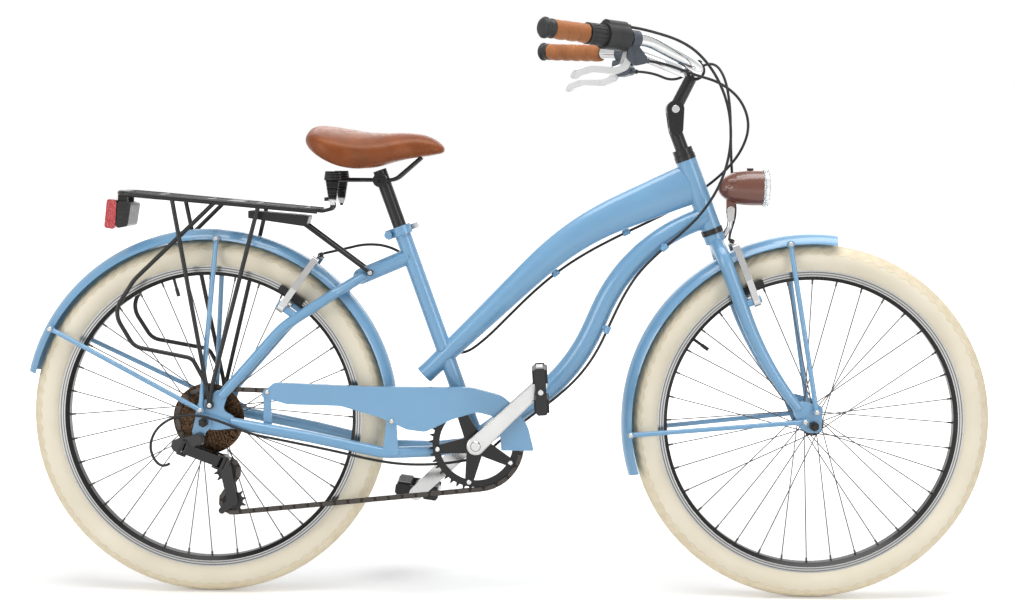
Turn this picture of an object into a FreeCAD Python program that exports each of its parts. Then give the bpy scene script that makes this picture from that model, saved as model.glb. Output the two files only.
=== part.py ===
"""Beach cruiser bicycle as an assembly of separate solids, in millimetres.

Working frame: +X forward, +Y to the rider's left, +Z up, X = 0 on the rear axle, Z = 0 on the ground.
The finished solids are moved so that the origin is the centre of the box's floor.
"""
import FreeCAD
import Part
import os
from math import acos, atan2, cos, degrees, hypot, pi, radians, sin, sqrt, tan

V = FreeCAD.Vector

# Fits between pieces
RUNNING_FIT = 0.05
FREE_GAP = 0.3
SIDE_GAP = 0.5

# Wheels
WHEELBASE = 1120.0
TYRE_RADIUS = 332.0
TYRE_WIDTH = 54.0
TYRE_WALL = 3.5
TYRE_DEPTH = 47.0
RIM_DEPTH = 19.0
RIM_WIDTH = 31.0
RIM_WALL = 2.6
RIM_BED_DEPTH = 11.0
SPOKE_COUNT = 36
SPOKE_CROSSES = 3
SPOKE_RADIUS = 1.0
NIPPLE_RADIUS = 1.9
NIPPLE_LENGTH = 12.0
VALVE_RADIUS = 2.8
VALVE_LENGTH = 33.0
FRONT_VALVE_ANGLE = 145.0
REAR_VALVE_ANGLE = 105.0
FLANGE_THICKNESS = 2.4
FLANGE_EDGE = 3.5
RIM_HOLE_OFFSET = 2.5
FRONT_FLANGE_RADIUS = 21.0
FRONT_FLANGE_OFFSET = 34.0
FRONT_BARREL_RADIUS = 11.0
REAR_FLANGE_RADIUS = 23.0
REAR_FLANGE_LEFT = 33.0
REAR_FLANGE_RIGHT = 19.0
REAR_BARREL_RADIUS = 15.0
FRONT_AXLE_RADIUS = 4.5
REAR_AXLE_RADIUS = 5.0
FRONT_HUB_WIDTH = 100.0
REAR_HUB_WIDTH = 135.0
LOCKNUT_LENGTH = 5.0
AXLE_NUT_RADIUS = 9.0
AXLE_NUT_LENGTH = 9.0
AXLE_END = 5.0

# Frame
HEAD_ANGLE = 69.0
FORK_RAKE = 48.0
SEAT_ANGLE = 70.0
BB_DROP = 41.0
CHAIN_STAY_LENGTH = 500.7
TUBE_WALL = 1.6
HEAD_TUBE_RADIUS = 19.0
FORK_CROWN_HEIGHT = 51.0
HEAD_TUBE_LENGTH = 135.0
TOP_TUBE_SEAT_JOINT = 172.0
TOP_TUBE_HEAD_JOINT = 91.0
TOP_TUBE_SPUR = 56.0
TOP_TUBE_LOWER_ANGLE = 44.3
TOP_TUBE_UPPER_ANGLE = 22.3
TOP_TUBE_WIDTH = 34.0
TOP_TUBE_SEAT_DEPTH = 36.0
TOP_TUBE_HEAD_DEPTH = 76.0
TOP_TUBE_BEND = 560.0
DOWN_TUBE_RADIUS = 20.0
DOWN_TUBE_HEAD_JOINT = 24.0
DOWN_TUBE_HEAD_RUN = 153.0
DOWN_TUBE_HEAD_ANGLE = 22.0
DOWN_TUBE_MID_ANGLE = 66.5
DOWN_TUBE_BB_ANGLE = 36.0
DOWN_TUBE_HEAD_BEND = 310.0
DOWN_TUBE_BB_BEND = 330.0
SEAT_TUBE_RADIUS = 15.0
SEAT_TUBE_LENGTH = 426.0
SEATPOST_RADIUS = 12.7
BB_SHELL_RADIUS = 21.0
BB_SHELL_WIDTH = 70.0
BB_BORE_RADIUS = 17.0
CHAIN_STAY_RADIUS = 10.5
DROPOUT_THICKNESS = 6.0
SEAT_STAY_RADIUS = 9.5
MONOSTAY_RADIUS = 15.0
MONOSTAY_DROP = 58.0
MONOSTAY_ANGLE = 23.3
MONOSTAY_CLEARANCE = 34.64
STAY_BEND_HALF_WIDTH = 48.0
STAY_KNEE_INSET = 30.0
STAY_KNEE_BACK = 16.5
CABLE_GUIDE_RADIUS = 5.5
CABLE_GUIDE_LENGTH = 14.0

# Fork and headset
STEERER_RADIUS = 14.3
QUILL_RADIUS = 11.1
CUP_RADIUS = 20.5
CUP_HEIGHT = 10.0
LOCKNUT_RADIUS = 18.5
LOCKNUT_HEIGHT = 12.0
FORK_BLADE_RADIUS = 13.0
FORK_TIP_RADIUS = 9.0
FORK_BLADE_OFFSET = 49.0
FORK_BLADE_STRAIGHT = 114.0
FORK_TIP_THICKNESS = 5.0
FORK_TIP_LENGTH = 38.0

# Stem and handlebar
STEM_PIVOT_RISE = 95.0
STEM_PIVOT_FORWARD = 13.0
STEM_COLUMN_RADIUS = 12.7
STEM_HEAD_RADIUS = 16.0
STEM_ARM_WIDTH = 24.0
STEM_EAR = 7.0
STEM_ARM_TIP_RADIUS = 11.0
STEM_ARM_LENGTH = 78.0
STEM_ARM_ANGLE = 63.4
STEM_BOLT_RADIUS = 4.0
BAR_CENTRE_RADIUS = 12.7
BAR_RADIUS = 11.1
BAR_CLAMP_RADIUS = 18.0
BAR_CLAMP_WIDTH = 44.0
BAR_STRAIGHT = 105.0
BAR_HALF_WIDTH = 320.0
BAR_PULLBACK = 279.0
BAR_RISE = 54.0
BAR_BEND = 110.0
BAR_SWEEP = 37.6
BAR_GRIP_SLOPE = 3.0
BAR_GRIP_STRAIGHT = 232.0
BAR_KNEE_BEND = 140.0
GRIP_RADIUS = 16.5
GRIP_CAP_RADIUS = 18.0
GRIP_CAP_LENGTH = 18.0
RIGHT_GRIP_LENGTH = 74.0
LEFT_GRIP_LENGTH = 128.0
TWIST_GRIP_LENGTH = 36.0
TWIST_GRIP_RADIUS = 18.5
SHIFTER_LENGTH = 48.0
SHIFTER_RADIUS = 23.0
LEVER_CLAMP_POSITION = 187.0
LEVER_CLAMP_WIDTH = 18.0
LEVER_CLAMP_RADIUS = 15.5
LEVER_THICKNESS = 9.0
LEVER_PIVOT_DOWN = 27.0
LEVER_REACH = 122.0
LEVER_DROP = 68.0
LEVER_PIN_RADIUS = 3.0
LEVER_EAR = 4.0

# Brakes
BRAKE_POST_INSET = 31.0
BRAKE_POST_RADIUS = 7.0
BRAKE_PIN_RADIUS = 4.0
BRAKE_ARM_LENGTH = 104.0
BRAKE_ARM_THICKNESS = 12.0
BRAKE_STAND_OFF = 22.0
REAR_BRAKE_ANGLE = 55.0
REAR_BRAKE_OFFSET = 50.0
PAD_LENGTH = 52.0
PAD_HEIGHT = 11.0
PAD_THICKNESS = 12.0
PAD_GAP = 1.6
PAD_INSET = 8.0

# Fenders, stays and rack
FENDER_CLEARANCE = 20.0
FENDER_HALF_WIDTH = 31.0
FENDER_DEPTH = 19.0
FENDER_WALL = 1.4
REAR_FENDER_START = 10.0
REAR_FENDER_END = 166.0
FRONT_FENDER_START = 83.0
FRONT_FENDER_END = 197.0
FENDER_STAY_RADIUS = 4.5
STAY_EYE_RADIUS = 7.0
RACK_EYE_THICKNESS = 8.0
RACK_RAIL_RADIUS = 5.0
RACK_ROD_RADIUS = 4.0
RACK_STRUT_RADIUS = 3.5
RACK_HALF_WIDTH = 60.0
RACK_REAR = -159.0
RACK_CLEARANCE = 66.0
RACK_LENGTH = 366.0
RACK_SLOPE = 4.8
BOLT_HEAD_RADIUS = 4.6
BOLT_HEAD_HEIGHT = 3.4

# Drive
CHAIN_PITCH = 12.7
CHAINRING_TEETH = 42
SPROCKET_TEETH = (28, 24, 22, 20, 18, 16, 14)
PULLEY_TEETH = 11
TOOTH_THICKNESS = 1.8
CHAINRING_LINE = 45.0
SPROCKET_LINE = 34.0
SPROCKET_SPACING = 5.0
PROTECTOR_RADIUS = 66.0
ROLLER_RADIUS = 3.85
LINK_PLATE_RADIUS = 4.2
LINK_PLATE = 0.9
CHAIN_PIN_RADIUS = 1.8
SPINDLE_RADIUS = 8.5
CRANK_LENGTH = 165.0
CRANK_ANGLE = 44.0
CRANK_INNER_FACE = 60.0
CRANK_THICKNESS = 13.0
CRANK_HUB_RADIUS = 17.0
CRANK_TIP_RADIUS = 13.0
PEDAL_WIDTH = 92.0
PEDAL_LENGTH = 84.0
PEDAL_THICKNESS = 27.0
PEDAL_SPINDLE_RADIUS = 4.8
PEDAL_BARREL_RADIUS = 9.0
RIGHT_PEDAL_ANGLE = 86.0
LEFT_PEDAL_ANGLE = 8.0
GUARD_LINE = 54.0
GUARD_THICKNESS = 1.4
GUARD_LIP = 15.0

# Derailleur
HANGER_DROP = 30.0
CAGE_PIVOT = (30.0, -78.0)
GUIDE_PULLEY = (34.0, -98.0)
CAGE_LENGTH = 57.0
CAGE_PLATE = 1.5
CAGE_HALF_WIDTH = 6.0
PULLEY_BOLT_RADIUS = 2.5
LINK_HEIGHT = 20.0
LINK_THICKNESS = 9.0
LINK_PIN_RADIUS = 2.0
SHIFT_SWING = 21.0
BODY_PIVOT = (-32.0, -87.0, -48.0)
KNUCKLE_PIVOT = (22.0, -64.0, -74.0)
KNUCKLE_RADIUS = 14.0

# Seat
SEATPOST_SHOWING = 110.0
SEATPOST_LENGTH = 300.0
CLAMP_COLLAR_RADIUS = 19.5
CLAMP_COLLAR_HEIGHT = 17.0
SEAT_LEVER_LENGTH = 52.0
SEAT_LEVER_HUB = 6.0
CLAMP_EAR_HALF_WIDTH = 7.0
SKEWER_RADIUS = 2.5
RAIL_RADIUS = 3.5
RAIL_HALF_SPACING = 22.0
RAIL_DROP = 18.0
SPRING_OFFSET = 72.0
SPRING_SETBACK = 79.0
SPRING_DROP = 2.0
SPRING_RADIUS = 13.0
SPRING_TIP_RADIUS = 7.5
SPRING_LENGTH = 56.0
SPRING_CUP_DEPTH = 13.0
SPRING_RIBS = 14

# Headlight and tail light
LAMP_FORWARD = 11.2
LAMP_RISE = 76.0
LAMP_LENGTH = 82.0
LAMP_RADIUS = 33.0
LAMP_WALL = 2.0
BEZEL_RADIUS = 36.0
BEZEL_WIDTH = 11.0
LAMP_BUTTON_RADIUS = 6.0
LAMP_FOOT_WIDTH = 12.0
LAMP_FOOT_DROP = 8.0
LAMP_BOLT_RADIUS = 3.0
LAMP_BUTTON_TRAVEL = 1.2
TAIL_LIGHT_HALF_WIDTH = 40.0

# Cables
HOUSING_RADIUS = 2.5
WIRE_RADIUS = 0.9
STRAIGHT_TURN = 0.002
CABLE_SPLIT_HEIGHT = 520.0

# Values that follow from the driving dimensions
RIM_OUTER_RADIUS = TYRE_RADIUS - TYRE_DEPTH
RIM_INNER_RADIUS = RIM_OUTER_RADIUS - RIM_DEPTH
PAD_RADIUS = RIM_OUTER_RADIUS - PAD_INSET
BRAKE_POST_DISTANCE = RIM_OUTER_RADIUS - BRAKE_POST_INSET
FENDER_RADIUS = TYRE_RADIUS + FENDER_CLEARANCE
FORK_SHOULDER = FENDER_RADIUS
FORK_RAKE_START = FORK_SHOULDER - FORK_BLADE_STRAIGHT
HEAD_TUBE_START = FORK_SHOULDER + FORK_CROWN_HEIGHT
RACK_REAR_HEIGHT = FENDER_RADIUS + RACK_CLEARANCE
RACK_FRONT = RACK_REAR + RACK_LENGTH
SEATPOST_TOP = SEAT_TUBE_LENGTH + SEATPOST_SHOWING
AXLE_HEIGHT = 0.0
BB_X = sqrt(CHAIN_STAY_LENGTH ** 2 - BB_DROP ** 2)
BB_Z = AXLE_HEIGHT - BB_DROP
FENDER_REACH = -FENDER_RADIUS * cos(radians(REAR_FENDER_END))
BOX_CENTRE_X = (WHEELBASE + TYRE_RADIUS - FENDER_REACH) / 2
STEER_UP = V(-cos(radians(HEAD_ANGLE)), 0, sin(radians(HEAD_ANGLE)))
STEER_FORWARD = V(sin(radians(HEAD_ANGLE)), 0, cos(radians(HEAD_ANGLE)))
FRONT_AXLE = V(WHEELBASE, 0, AXLE_HEIGHT)
REAR_AXLE = V(0, 0, AXLE_HEIGHT)
STEER_BASE = FRONT_AXLE - STEER_FORWARD * FORK_RAKE
SEAT_UP = V(-cos(radians(SEAT_ANGLE)), 0, sin(radians(SEAT_ANGLE)))
SEAT_FORWARD = V(sin(radians(SEAT_ANGLE)), 0, cos(radians(SEAT_ANGLE)))
BB_CENTRE = V(BB_X, 0, BB_Z)
LEFT = V(0, 1, 0)
UP = V(0, 0, 1)
HEAD_TUBE_END = HEAD_TUBE_START + HEAD_TUBE_LENGTH
STEM_PIVOT_HEIGHT = HEAD_TUBE_END + STEM_PIVOT_RISE
REAR_DROPOUT_FACE = REAR_HUB_WIDTH / 2
REAR_DROPOUT_OUTSIDE = REAR_DROPOUT_FACE + DROPOUT_THICKNESS
FENDER_EYELET = V(-6, 0, AXLE_HEIGHT + 22)
RACK_EYELET = V(11, 0, AXLE_HEIGHT + 31)
RIM_SIDE = RIM_WIDTH / 2
STAY_EYE_THICKNESS = 2 * FENDER_STAY_RADIUS


def steer_point(forward, up, side=0.0):
    """A point given along the steering axis, in front of it and to its left."""
    return STEER_BASE + STEER_FORWARD * forward + STEER_UP * up + LEFT * side


def seat_point(up, forward=0.0, side=0.0):
    """A point given along the seat tube from the bottom bracket."""
    return BB_CENTRE + SEAT_UP * up + SEAT_FORWARD * forward + LEFT * side


def around(centre, radius, angle, side=0.0):
    """A point on a circle about a wheel's or sprocket's axis."""
    return V(centre.x + radius * cos(radians(angle)), side, centre.z + radius * sin(radians(angle)))


def unit(vector):
    """The vector at length one."""
    return vector * (1 / vector.Length)


def cylinder(start, end, radius):
    """A round bar between two points."""
    return Part.makeCylinder(radius, (end - start).Length, start, end - start)


def cone(start, end, start_radius, end_radius):
    """A tapered round bar between two points."""
    return Part.makeCone(start_radius, end_radius, (end - start).Length, start, end - start)


def ring(start, end, outer, inner):
    """A round tube between two points."""
    return cylinder(start, end, outer).cut(cylinder(start, end, inner))


def fuse(first, *others):
    """One solid from several that meet."""
    return first.multiFuse(list(others)).removeSplitter()


def mirrored(shape):
    """The same piece on the other side of the bicycle."""
    return shape.mirror(V(0, 0, 0), LEFT)


def both_sides(shape):
    """A piece and its mirror image."""
    return [shape, mirrored(shape)]


def corner_arc(before, corner, after, radius):
    """Tangent points and the middle of the arc that rounds a corner."""
    back = unit(before - corner)
    ahead = unit(after - corner)
    half = acos(max(-1.0, min(1.0, back.dot(ahead)))) / 2
    reach = radius / tan(half)
    start = corner + back * reach
    end = corner + ahead * reach
    middle = corner + unit(back + ahead) * (radius / sin(half) - radius)
    return start, middle, end


def rounded_edges(points, radii, closed):
    """Straight runs joined by tangent arcs."""
    count = len(points)
    if not hasattr(radii, "__len__"):
        radii = [radii] * count
    corners = range(count) if closed else range(1, count - 1)
    bends = {}
    for index in corners:
        following = points[(index + 1) % count]
        if radii[index] > 0:
            bends[index] = corner_arc(points[index - 1], points[index], following, radii[index])
    edges = []
    last = bends[count - 1][2] if closed else points[0]
    for index in range(0 if closed else 1, count):
        start = bends[index][0] if index in bends else points[index]
        if (start - last).Length > 1e-6:
            edges.append(Part.LineSegment(last, start).toShape())
        last = start
        if index in bends:
            edges.append(Part.Arc(*bends[index]).toShape())
            last = bends[index][2]
    return edges


def pipe(points, radius, bend):
    """A round bar bent along a route of points."""
    if len(points) == 2:
        return cylinder(points[0], points[1], radius)
    route = Part.Wire(rounded_edges(points, bend, False))
    profile = Part.Wire(Part.makeCircle(radius, points[0], points[1] - points[0]))
    return route.makePipeShell([profile], True, False)


def easy_bends(points):
    """The largest bend that each inner point of a cable's route has room for."""
    radii = [0.0] * len(points)
    for index in range(1, len(points) - 1):
        back = points[index - 1] - points[index]
        ahead = points[index + 1] - points[index]
        turn = pi - back.getAngle(ahead)
        if turn > STRAIGHT_TURN:
            radii[index] = 0.45 * min(back.Length, ahead.Length) / tan(turn / 2)
    return radii


def cable(name, points, radius):
    """A cable housing along its route, with its bends and volume printed."""
    radii = easy_bends(points)
    route = Part.Wire(rounded_edges(points, radii, False))
    solid = pipe(points, radius, radii)
    expected = route.Length * pi * radius ** 2
    tightest = min(bend for bend in radii if bend > 0)
    print(f"{name}: {route.Length:.0f} mm, tightest bend {tightest:.1f}, volume {solid.Volume / expected:.4f}")
    return solid


def slab(points, radii, thickness_vector):
    """A flat plate with a rounded outline, thickened along a vector."""
    face = Part.Face(Part.Wire(rounded_edges(points, radii, True)))
    return face.extrude(thickness_vector)


def side_plate(outline, radii, inner, outer):
    """A plate that stands in the XZ plane between two Y values."""
    points = [V(x, inner, z) for x, z in outline]
    return slab(points, radii, V(0, outer - inner, 0))


def link_plate(first, first_radius, second, second_radius, thickness_vector):
    """A plate with two round ends joined by their tangents."""
    axis = unit(thickness_vector)
    along = second - first
    ahead = unit(along)
    across = axis.cross(ahead)
    lean = acos((first_radius - second_radius) / along.Length)
    upper = ahead * cos(lean) + across * sin(lean)
    lower = ahead * cos(lean) - across * sin(lean)
    start_top = first + upper * first_radius
    start_low = first + lower * first_radius
    end_top = second + upper * second_radius
    end_low = second + lower * second_radius
    edges = [
        Part.LineSegment(start_top, end_top).toShape(),
        Part.Arc(end_top, second + ahead * second_radius, end_low).toShape(),
        Part.LineSegment(end_low, start_low).toShape(),
        Part.Arc(start_low, first - ahead * first_radius, start_top).toShape(),
    ]
    return Part.Face(Part.Wire(edges)).extrude(thickness_vector)


def lathe(profile, base, axis, turn=360.0):
    """A turned solid from (along, radius) points about an axis."""
    helper = V(0, 0, 1) if abs(axis.z) < 0.9 else V(1, 0, 0)
    outward = unit(helper - axis * helper.dot(axis))
    points = [base + axis * along + outward * radius for along, radius in profile]
    face = Part.Face(Part.makePolygon(points + points[:1]))
    return face.revolve(base, axis, turn)


def turned(shape, centre, angle):
    """A copy turned about an axis along Y, in the rolling direction."""
    copy = shape.copy()
    copy.rotate(centre, LEFT, angle)
    return copy


def placed(shape, origin, first, second):
    """A copy of a solid made at the origin, moved to a frame of two square directions."""
    third = first.cross(second)
    matrix = FreeCAD.Matrix(
        first.x, second.x, third.x, origin.x,
        first.y, second.y, third.y, origin.y,
        first.z, second.z, third.z, origin.z,
        0, 0, 0, 1,
    )
    copy = shape.copy()
    copy.Placement = FreeCAD.Placement(matrix)
    return copy


def hexagon_nut(start, end, radius, bore):
    """A hexagon nut on a round bore."""
    axis = unit(end - start)
    helper = V(0, 0, 1) if abs(axis.z) < 0.9 else V(1, 0, 0)
    outward = unit(helper - axis * helper.dot(axis))
    side = axis.cross(outward)
    corners = [
        start + outward * (radius * cos(k * pi / 3)) + side * (radius * sin(k * pi / 3)) for k in range(6)
    ]
    body = Part.Face(Part.makePolygon(corners + corners[:1])).extrude(end - start)
    return body.cut(cylinder(start, end, bore))


def bolt_head(seat, direction):
    """A domed bolt head that stands on a seat."""
    axis = unit(direction)
    shank = cylinder(seat, seat + axis * (BOLT_HEAD_HEIGHT * 0.6), BOLT_HEAD_RADIUS)
    dome = cone(
        seat + axis * (BOLT_HEAD_HEIGHT * 0.6), seat + axis * BOLT_HEAD_HEIGHT,
        BOLT_HEAD_RADIUS, BOLT_HEAD_RADIUS * 0.7,
    )
    return fuse(shank, dome)


def save(name, *shapes):
    """Write one node's solids, drawn with the axles at zero height, standing on the ground."""
    solids = []
    for shape in shapes:
        solids.extend(shape.Solids)
    node = Part.makeCompound(solids)
    node.translate(V(-BOX_CENTRE_X, 0, TYRE_RADIUS))
    node.exportStep(f"parts/{name}.step")


def spaced(first, last, count):
    """Evenly spaced values from the first to the last."""
    return [first + (last - first) * index / (count - 1) for index in range(count)]


def top_tube_corner():
    """Where the top tube's two straight runs would meet."""
    seat = seat_point(TOP_TUBE_SEAT_JOINT)
    head = steer_point(0, HEAD_TUBE_START + TOP_TUBE_HEAD_JOINT)
    lower = tan(radians(TOP_TUBE_LOWER_ANGLE))
    upper = tan(radians(TOP_TUBE_UPPER_ANGLE))
    x = (head.z - seat.z + lower * seat.x - upper * head.x) / (lower - upper)
    return V(x, 0, seat.z + lower * (x - seat.x))


def top_tube_route():
    """The top tube's centre line from its spur to the steering axis."""
    rearward = V(-cos(radians(TOP_TUBE_LOWER_ANGLE)), 0, -sin(radians(TOP_TUBE_LOWER_ANGLE)))
    start = seat_point(TOP_TUBE_SEAT_JOINT) + rearward * TOP_TUBE_SPUR
    end = steer_point(0, HEAD_TUBE_START + TOP_TUBE_HEAD_JOINT)
    return Part.Wire(rounded_edges([start, top_tube_corner(), end], TOP_TUBE_BEND, False))


def top_tube_solid(shrink, first_distance):
    """The top tube's swelling oval form, less a wall."""
    route = top_tube_route()
    total = route.Length
    sections = []
    stations = [first_distance, TOP_TUBE_SPUR] + spaced(TOP_TUBE_SPUR, total, 7)[1:]
    points = route.discretize(Number=int(total) + 1)
    for distance in stations:
        index = min(len(points) - 2, int(round(distance / total * (len(points) - 1))))
        centre = points[index]
        ahead = unit(points[index + 1] - points[index])
        upward = V(-ahead.z, 0, ahead.x)
        share = max(0.0, (distance - TOP_TUBE_SPUR) / (total - TOP_TUBE_SPUR))
        depth = TOP_TUBE_SEAT_DEPTH + (TOP_TUBE_HEAD_DEPTH - TOP_TUBE_SEAT_DEPTH) * share ** 1.15
        tall = depth / 2 - shrink
        wide = TOP_TUBE_WIDTH / 2 - shrink
        oval = Part.Ellipse(centre + upward * tall, centre + LEFT * wide, centre)
        sections.append(Part.Wire(oval.toShape()))
    return Part.makeLoft(sections, True, False)


def down_tube_points():
    """Corner points of the down tube from the steering axis to the bottom bracket."""
    head = steer_point(0, HEAD_TUBE_START + DOWN_TUBE_HEAD_JOINT)
    first = radians(DOWN_TUBE_HEAD_ANGLE)
    upper_corner = head - V(cos(first), 0, sin(first)) * DOWN_TUBE_HEAD_RUN
    middle = tan(radians(DOWN_TUBE_MID_ANGLE))
    last = tan(radians(DOWN_TUBE_BB_ANGLE))
    x = (BB_Z - upper_corner.z + middle * upper_corner.x - last * BB_X) / (middle - last)
    lower_corner = V(x, 0, BB_Z + last * (x - BB_X))
    return [head, upper_corner, lower_corner, BB_CENTRE]


def down_tube_solid(radius):
    """The curved down tube as a full bar."""
    points = down_tube_points()
    return pipe(points, radius, [0, DOWN_TUBE_HEAD_BEND, DOWN_TUBE_BB_BEND, 0])


def head_tube_bar(radius):
    """A bar along the head tube."""
    return cylinder(steer_point(0, HEAD_TUBE_START), steer_point(0, HEAD_TUBE_END), radius)


def bb_bar(radius):
    """A bar across the bottom bracket shell."""
    half = LEFT * (BB_SHELL_WIDTH / 2)
    return cylinder(BB_CENTRE - half, BB_CENTRE + half, radius)


def cable_guide(points, target, form, axis):
    """A sleeve round a cable's route near a target, on a short post that stands on a tube."""
    route = Part.Wire(rounded_edges(points, easy_bends(points), False))
    samples = route.discretize(Number=int(route.Length))
    nearest = min(range(1, len(samples) - 1), key=lambda index: (samples[index] - target).Length)
    centre = samples[nearest]
    half = unit(samples[nearest + 1] - samples[nearest - 1]) * (CABLE_GUIDE_LENGTH / 2)
    foot = min(axis.discretize(Number=400), key=lambda point: (point - centre).Length)
    sleeve_body = cylinder(centre - half, centre + half, CABLE_GUIDE_RADIUS)
    post = cylinder(centre, foot, CABLE_GUIDE_RADIUS - 1)
    hole = cylinder(centre - half * 1.5, centre + half * 1.5, HOUSING_RADIUS + SIDE_GAP)
    guide = fuse(sleeve_body, post).cut(hole).cut(form)
    return max(guide.Solids, key=lambda solid: solid.Volume)


def build_head_tube():
    """Head tube with its cup seats."""
    save("head_tube", head_tube_bar(HEAD_TUBE_RADIUS).cut(head_tube_bar(STEERER_RADIUS + 2.2)))


def build_top_tube():
    """Hollow top tube, coped to the head tube, open behind its cut spur."""
    outer = top_tube_solid(0, 0)
    inner = top_tube_solid(TUBE_WALL, TUBE_WALL)
    tube = outer.cut(inner).cut(head_tube_bar(HEAD_TUBE_RADIUS))
    guides = []
    for x, z in ((771, 358), (643, 274)):
        guides.append(cable_guide(rear_brake_route(), V(x, 20, z), outer, top_tube_route()))
    save("top_tube", max(tube.Solids, key=lambda solid: solid.Volume), *guides)


def build_down_tube():
    """Hollow down tube, coped to the head tube, top tube and bottom bracket."""
    tube = down_tube_solid(DOWN_TUBE_RADIUS).cut(down_tube_solid(DOWN_TUBE_RADIUS - TUBE_WALL))
    tube = tube.cut(head_tube_bar(HEAD_TUBE_RADIUS)).cut(bb_bar(BB_SHELL_RADIUS))
    tube = tube.cut(top_tube_solid(0, 0)).cut(seat_tube_bar(SEAT_TUBE_RADIUS, 0, SEAT_TUBE_LENGTH))
    guides = []
    form = down_tube_solid(DOWN_TUBE_RADIUS)
    axis = Part.Wire(rounded_edges(down_tube_points(), [0, DOWN_TUBE_HEAD_BEND, DOWN_TUBE_BB_BEND, 0], False))
    for x, z in ((844, 325), (730, 176)):
        guides.append(cable_guide(shift_route(), V(x, -17, z), form, axis))
    save("down_tube", max(tube.Solids, key=lambda solid: solid.Volume), *guides)


def seat_tube_bar(radius, start, end):
    """A bar along the seat tube."""
    return cylinder(seat_point(start), seat_point(end), radius)


def build_seat_tube():
    """Upper seat tube, lower seat tube with the bottom bracket shell, and the clamp collar."""
    bore = SEATPOST_RADIUS + RUNNING_FIT
    outer = seat_tube_bar(SEAT_TUBE_RADIUS, 0, SEAT_TUBE_LENGTH)
    hollow = outer.cut(seat_tube_bar(bore, 0, SEAT_TUBE_LENGTH)).cut(top_tube_solid(0, 0))
    pieces = sorted(hollow.Solids, key=lambda solid: solid.CenterOfMass.z)
    shell = bb_bar(BB_SHELL_RADIUS)
    lower = fuse(pieces[0].cut(shell), shell.cut(bb_bar(BB_BORE_RADIUS)))
    collar_base = SEAT_TUBE_LENGTH - CLAMP_COLLAR_HEIGHT
    collar = ring(seat_point(collar_base), seat_point(SEAT_TUBE_LENGTH), CLAMP_COLLAR_RADIUS, SEAT_TUBE_RADIUS)
    ear_low = seat_point(collar_base, -CLAMP_COLLAR_RADIUS - 9, -CLAMP_EAR_HALF_WIDTH)
    ear = Part.makeBox(18, 2 * CLAMP_EAR_HALF_WIDTH, CLAMP_COLLAR_HEIGHT)
    inside = seat_tube_bar(SEAT_TUBE_RADIUS + 1, collar_base - 5, SEAT_TUBE_LENGTH + 5)
    ear = placed(ear, ear_low, SEAT_FORWARD, LEFT).cut(inside)
    pivot = seat_lever_pivot()
    nut_start = pivot - LEFT * (pivot.y + 20)
    nut = cylinder(nut_start, nut_start + LEFT * 13, 7)
    skewer = cylinder(nut_start, pivot, SKEWER_RADIUS)
    pin = cylinder(pivot - SEAT_UP * 7, pivot + SEAT_UP * 7, LEVER_PIN_RADIUS)
    collar = fuse(collar, ear, nut, skewer, pin)
    save("seat_tube", pieces[-1], lower, collar)


def dropout_plate():
    """The right rear dropout, with a slot for the axle."""
    outline = [
        (-17, 12), (-12, 34), (8, 44), (24, 60), (42, 46), (34, 22), (54, 10), (54, -12), (24, -15), (-12, -13),
    ]
    shifted = [(x, AXLE_HEIGHT + z) for x, z in outline]
    radii = [5, 6, 8, 6, 6, 10, 4, 4, 8, 6]
    plate = side_plate(shifted, radii, -REAR_DROPOUT_FACE, -REAR_DROPOUT_OUTSIDE)
    bore = REAR_AXLE_RADIUS + RUNNING_FIT
    hole = cylinder(V(0, -REAR_DROPOUT_FACE, AXLE_HEIGHT), V(0, -REAR_DROPOUT_OUTSIDE, AXLE_HEIGHT), bore)
    slot = Part.makeBox(2 * bore, DROPOUT_THICKNESS, 30, V(-bore, -REAR_DROPOUT_OUTSIDE, AXLE_HEIGHT - 30))
    return plate.cut(hole).cut(slot)


def chain_stay_points(side):
    """Route of a chain stay, which dips under the chain; side is -1 on the right."""
    return [
        V(48, side * 69, AXLE_HEIGHT - 2),
        V(190, side * 58, -28),
        V(330, side * 46, -59),
        V(420, side * 27, -58),
        V(BB_X, side * 18, BB_Z - 6),
    ]


def build_chain_stays():
    """Both chain stays with their dropouts, cable guide and chain guard tabs."""
    stays = []
    for side in (-1, 1):
        stay = pipe(chain_stay_points(side), CHAIN_STAY_RADIUS, [0, 160, 120, 120, 0])
        plate = dropout_plate()
        if side == 1:
            plate = mirrored(plate)
        stay = fuse(stay, plate).cut(bb_bar(BB_SHELL_RADIUS))
        if side == -1:
            stay = fuse(stay, *guard_tabs())
        stays.append(max(stay.Solids, key=lambda solid: solid.Volume))
    save("chain_stays", *stays)


def guard_tabs():
    """Two welded strips that carry the chain guard."""
    line = -GUARD_LINE
    rear = side_plate([(106, -20), (106, 59), (120, 59), (122, -20)], 3, line, line + 3)
    front = side_plate([(326, -62), (334, 6), (352, 6), (356, -62)], 4, line, line + 3)
    rear_foot = cylinder(V(114, line, -14), V(114, -64, -13), 5)
    front_foot = cylinder(V(341, line, -58), V(341, -44, -58), 6)
    return [rear, front, rear_foot, front_foot]


def monostay_axis():
    """Front and rear ends of the single upper stay."""
    front = seat_point(SEAT_TUBE_LENGTH - MONOSTAY_DROP)
    slope = radians(MONOSTAY_ANGLE)
    forward = V(cos(slope), 0, sin(slope))
    out = front - REAR_AXLE
    along = out.dot(forward)
    reach = FENDER_RADIUS + MONOSTAY_CLEARANCE
    length = along - sqrt(along ** 2 - out.Length ** 2 + reach ** 2)
    return front, front - forward * length


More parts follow.
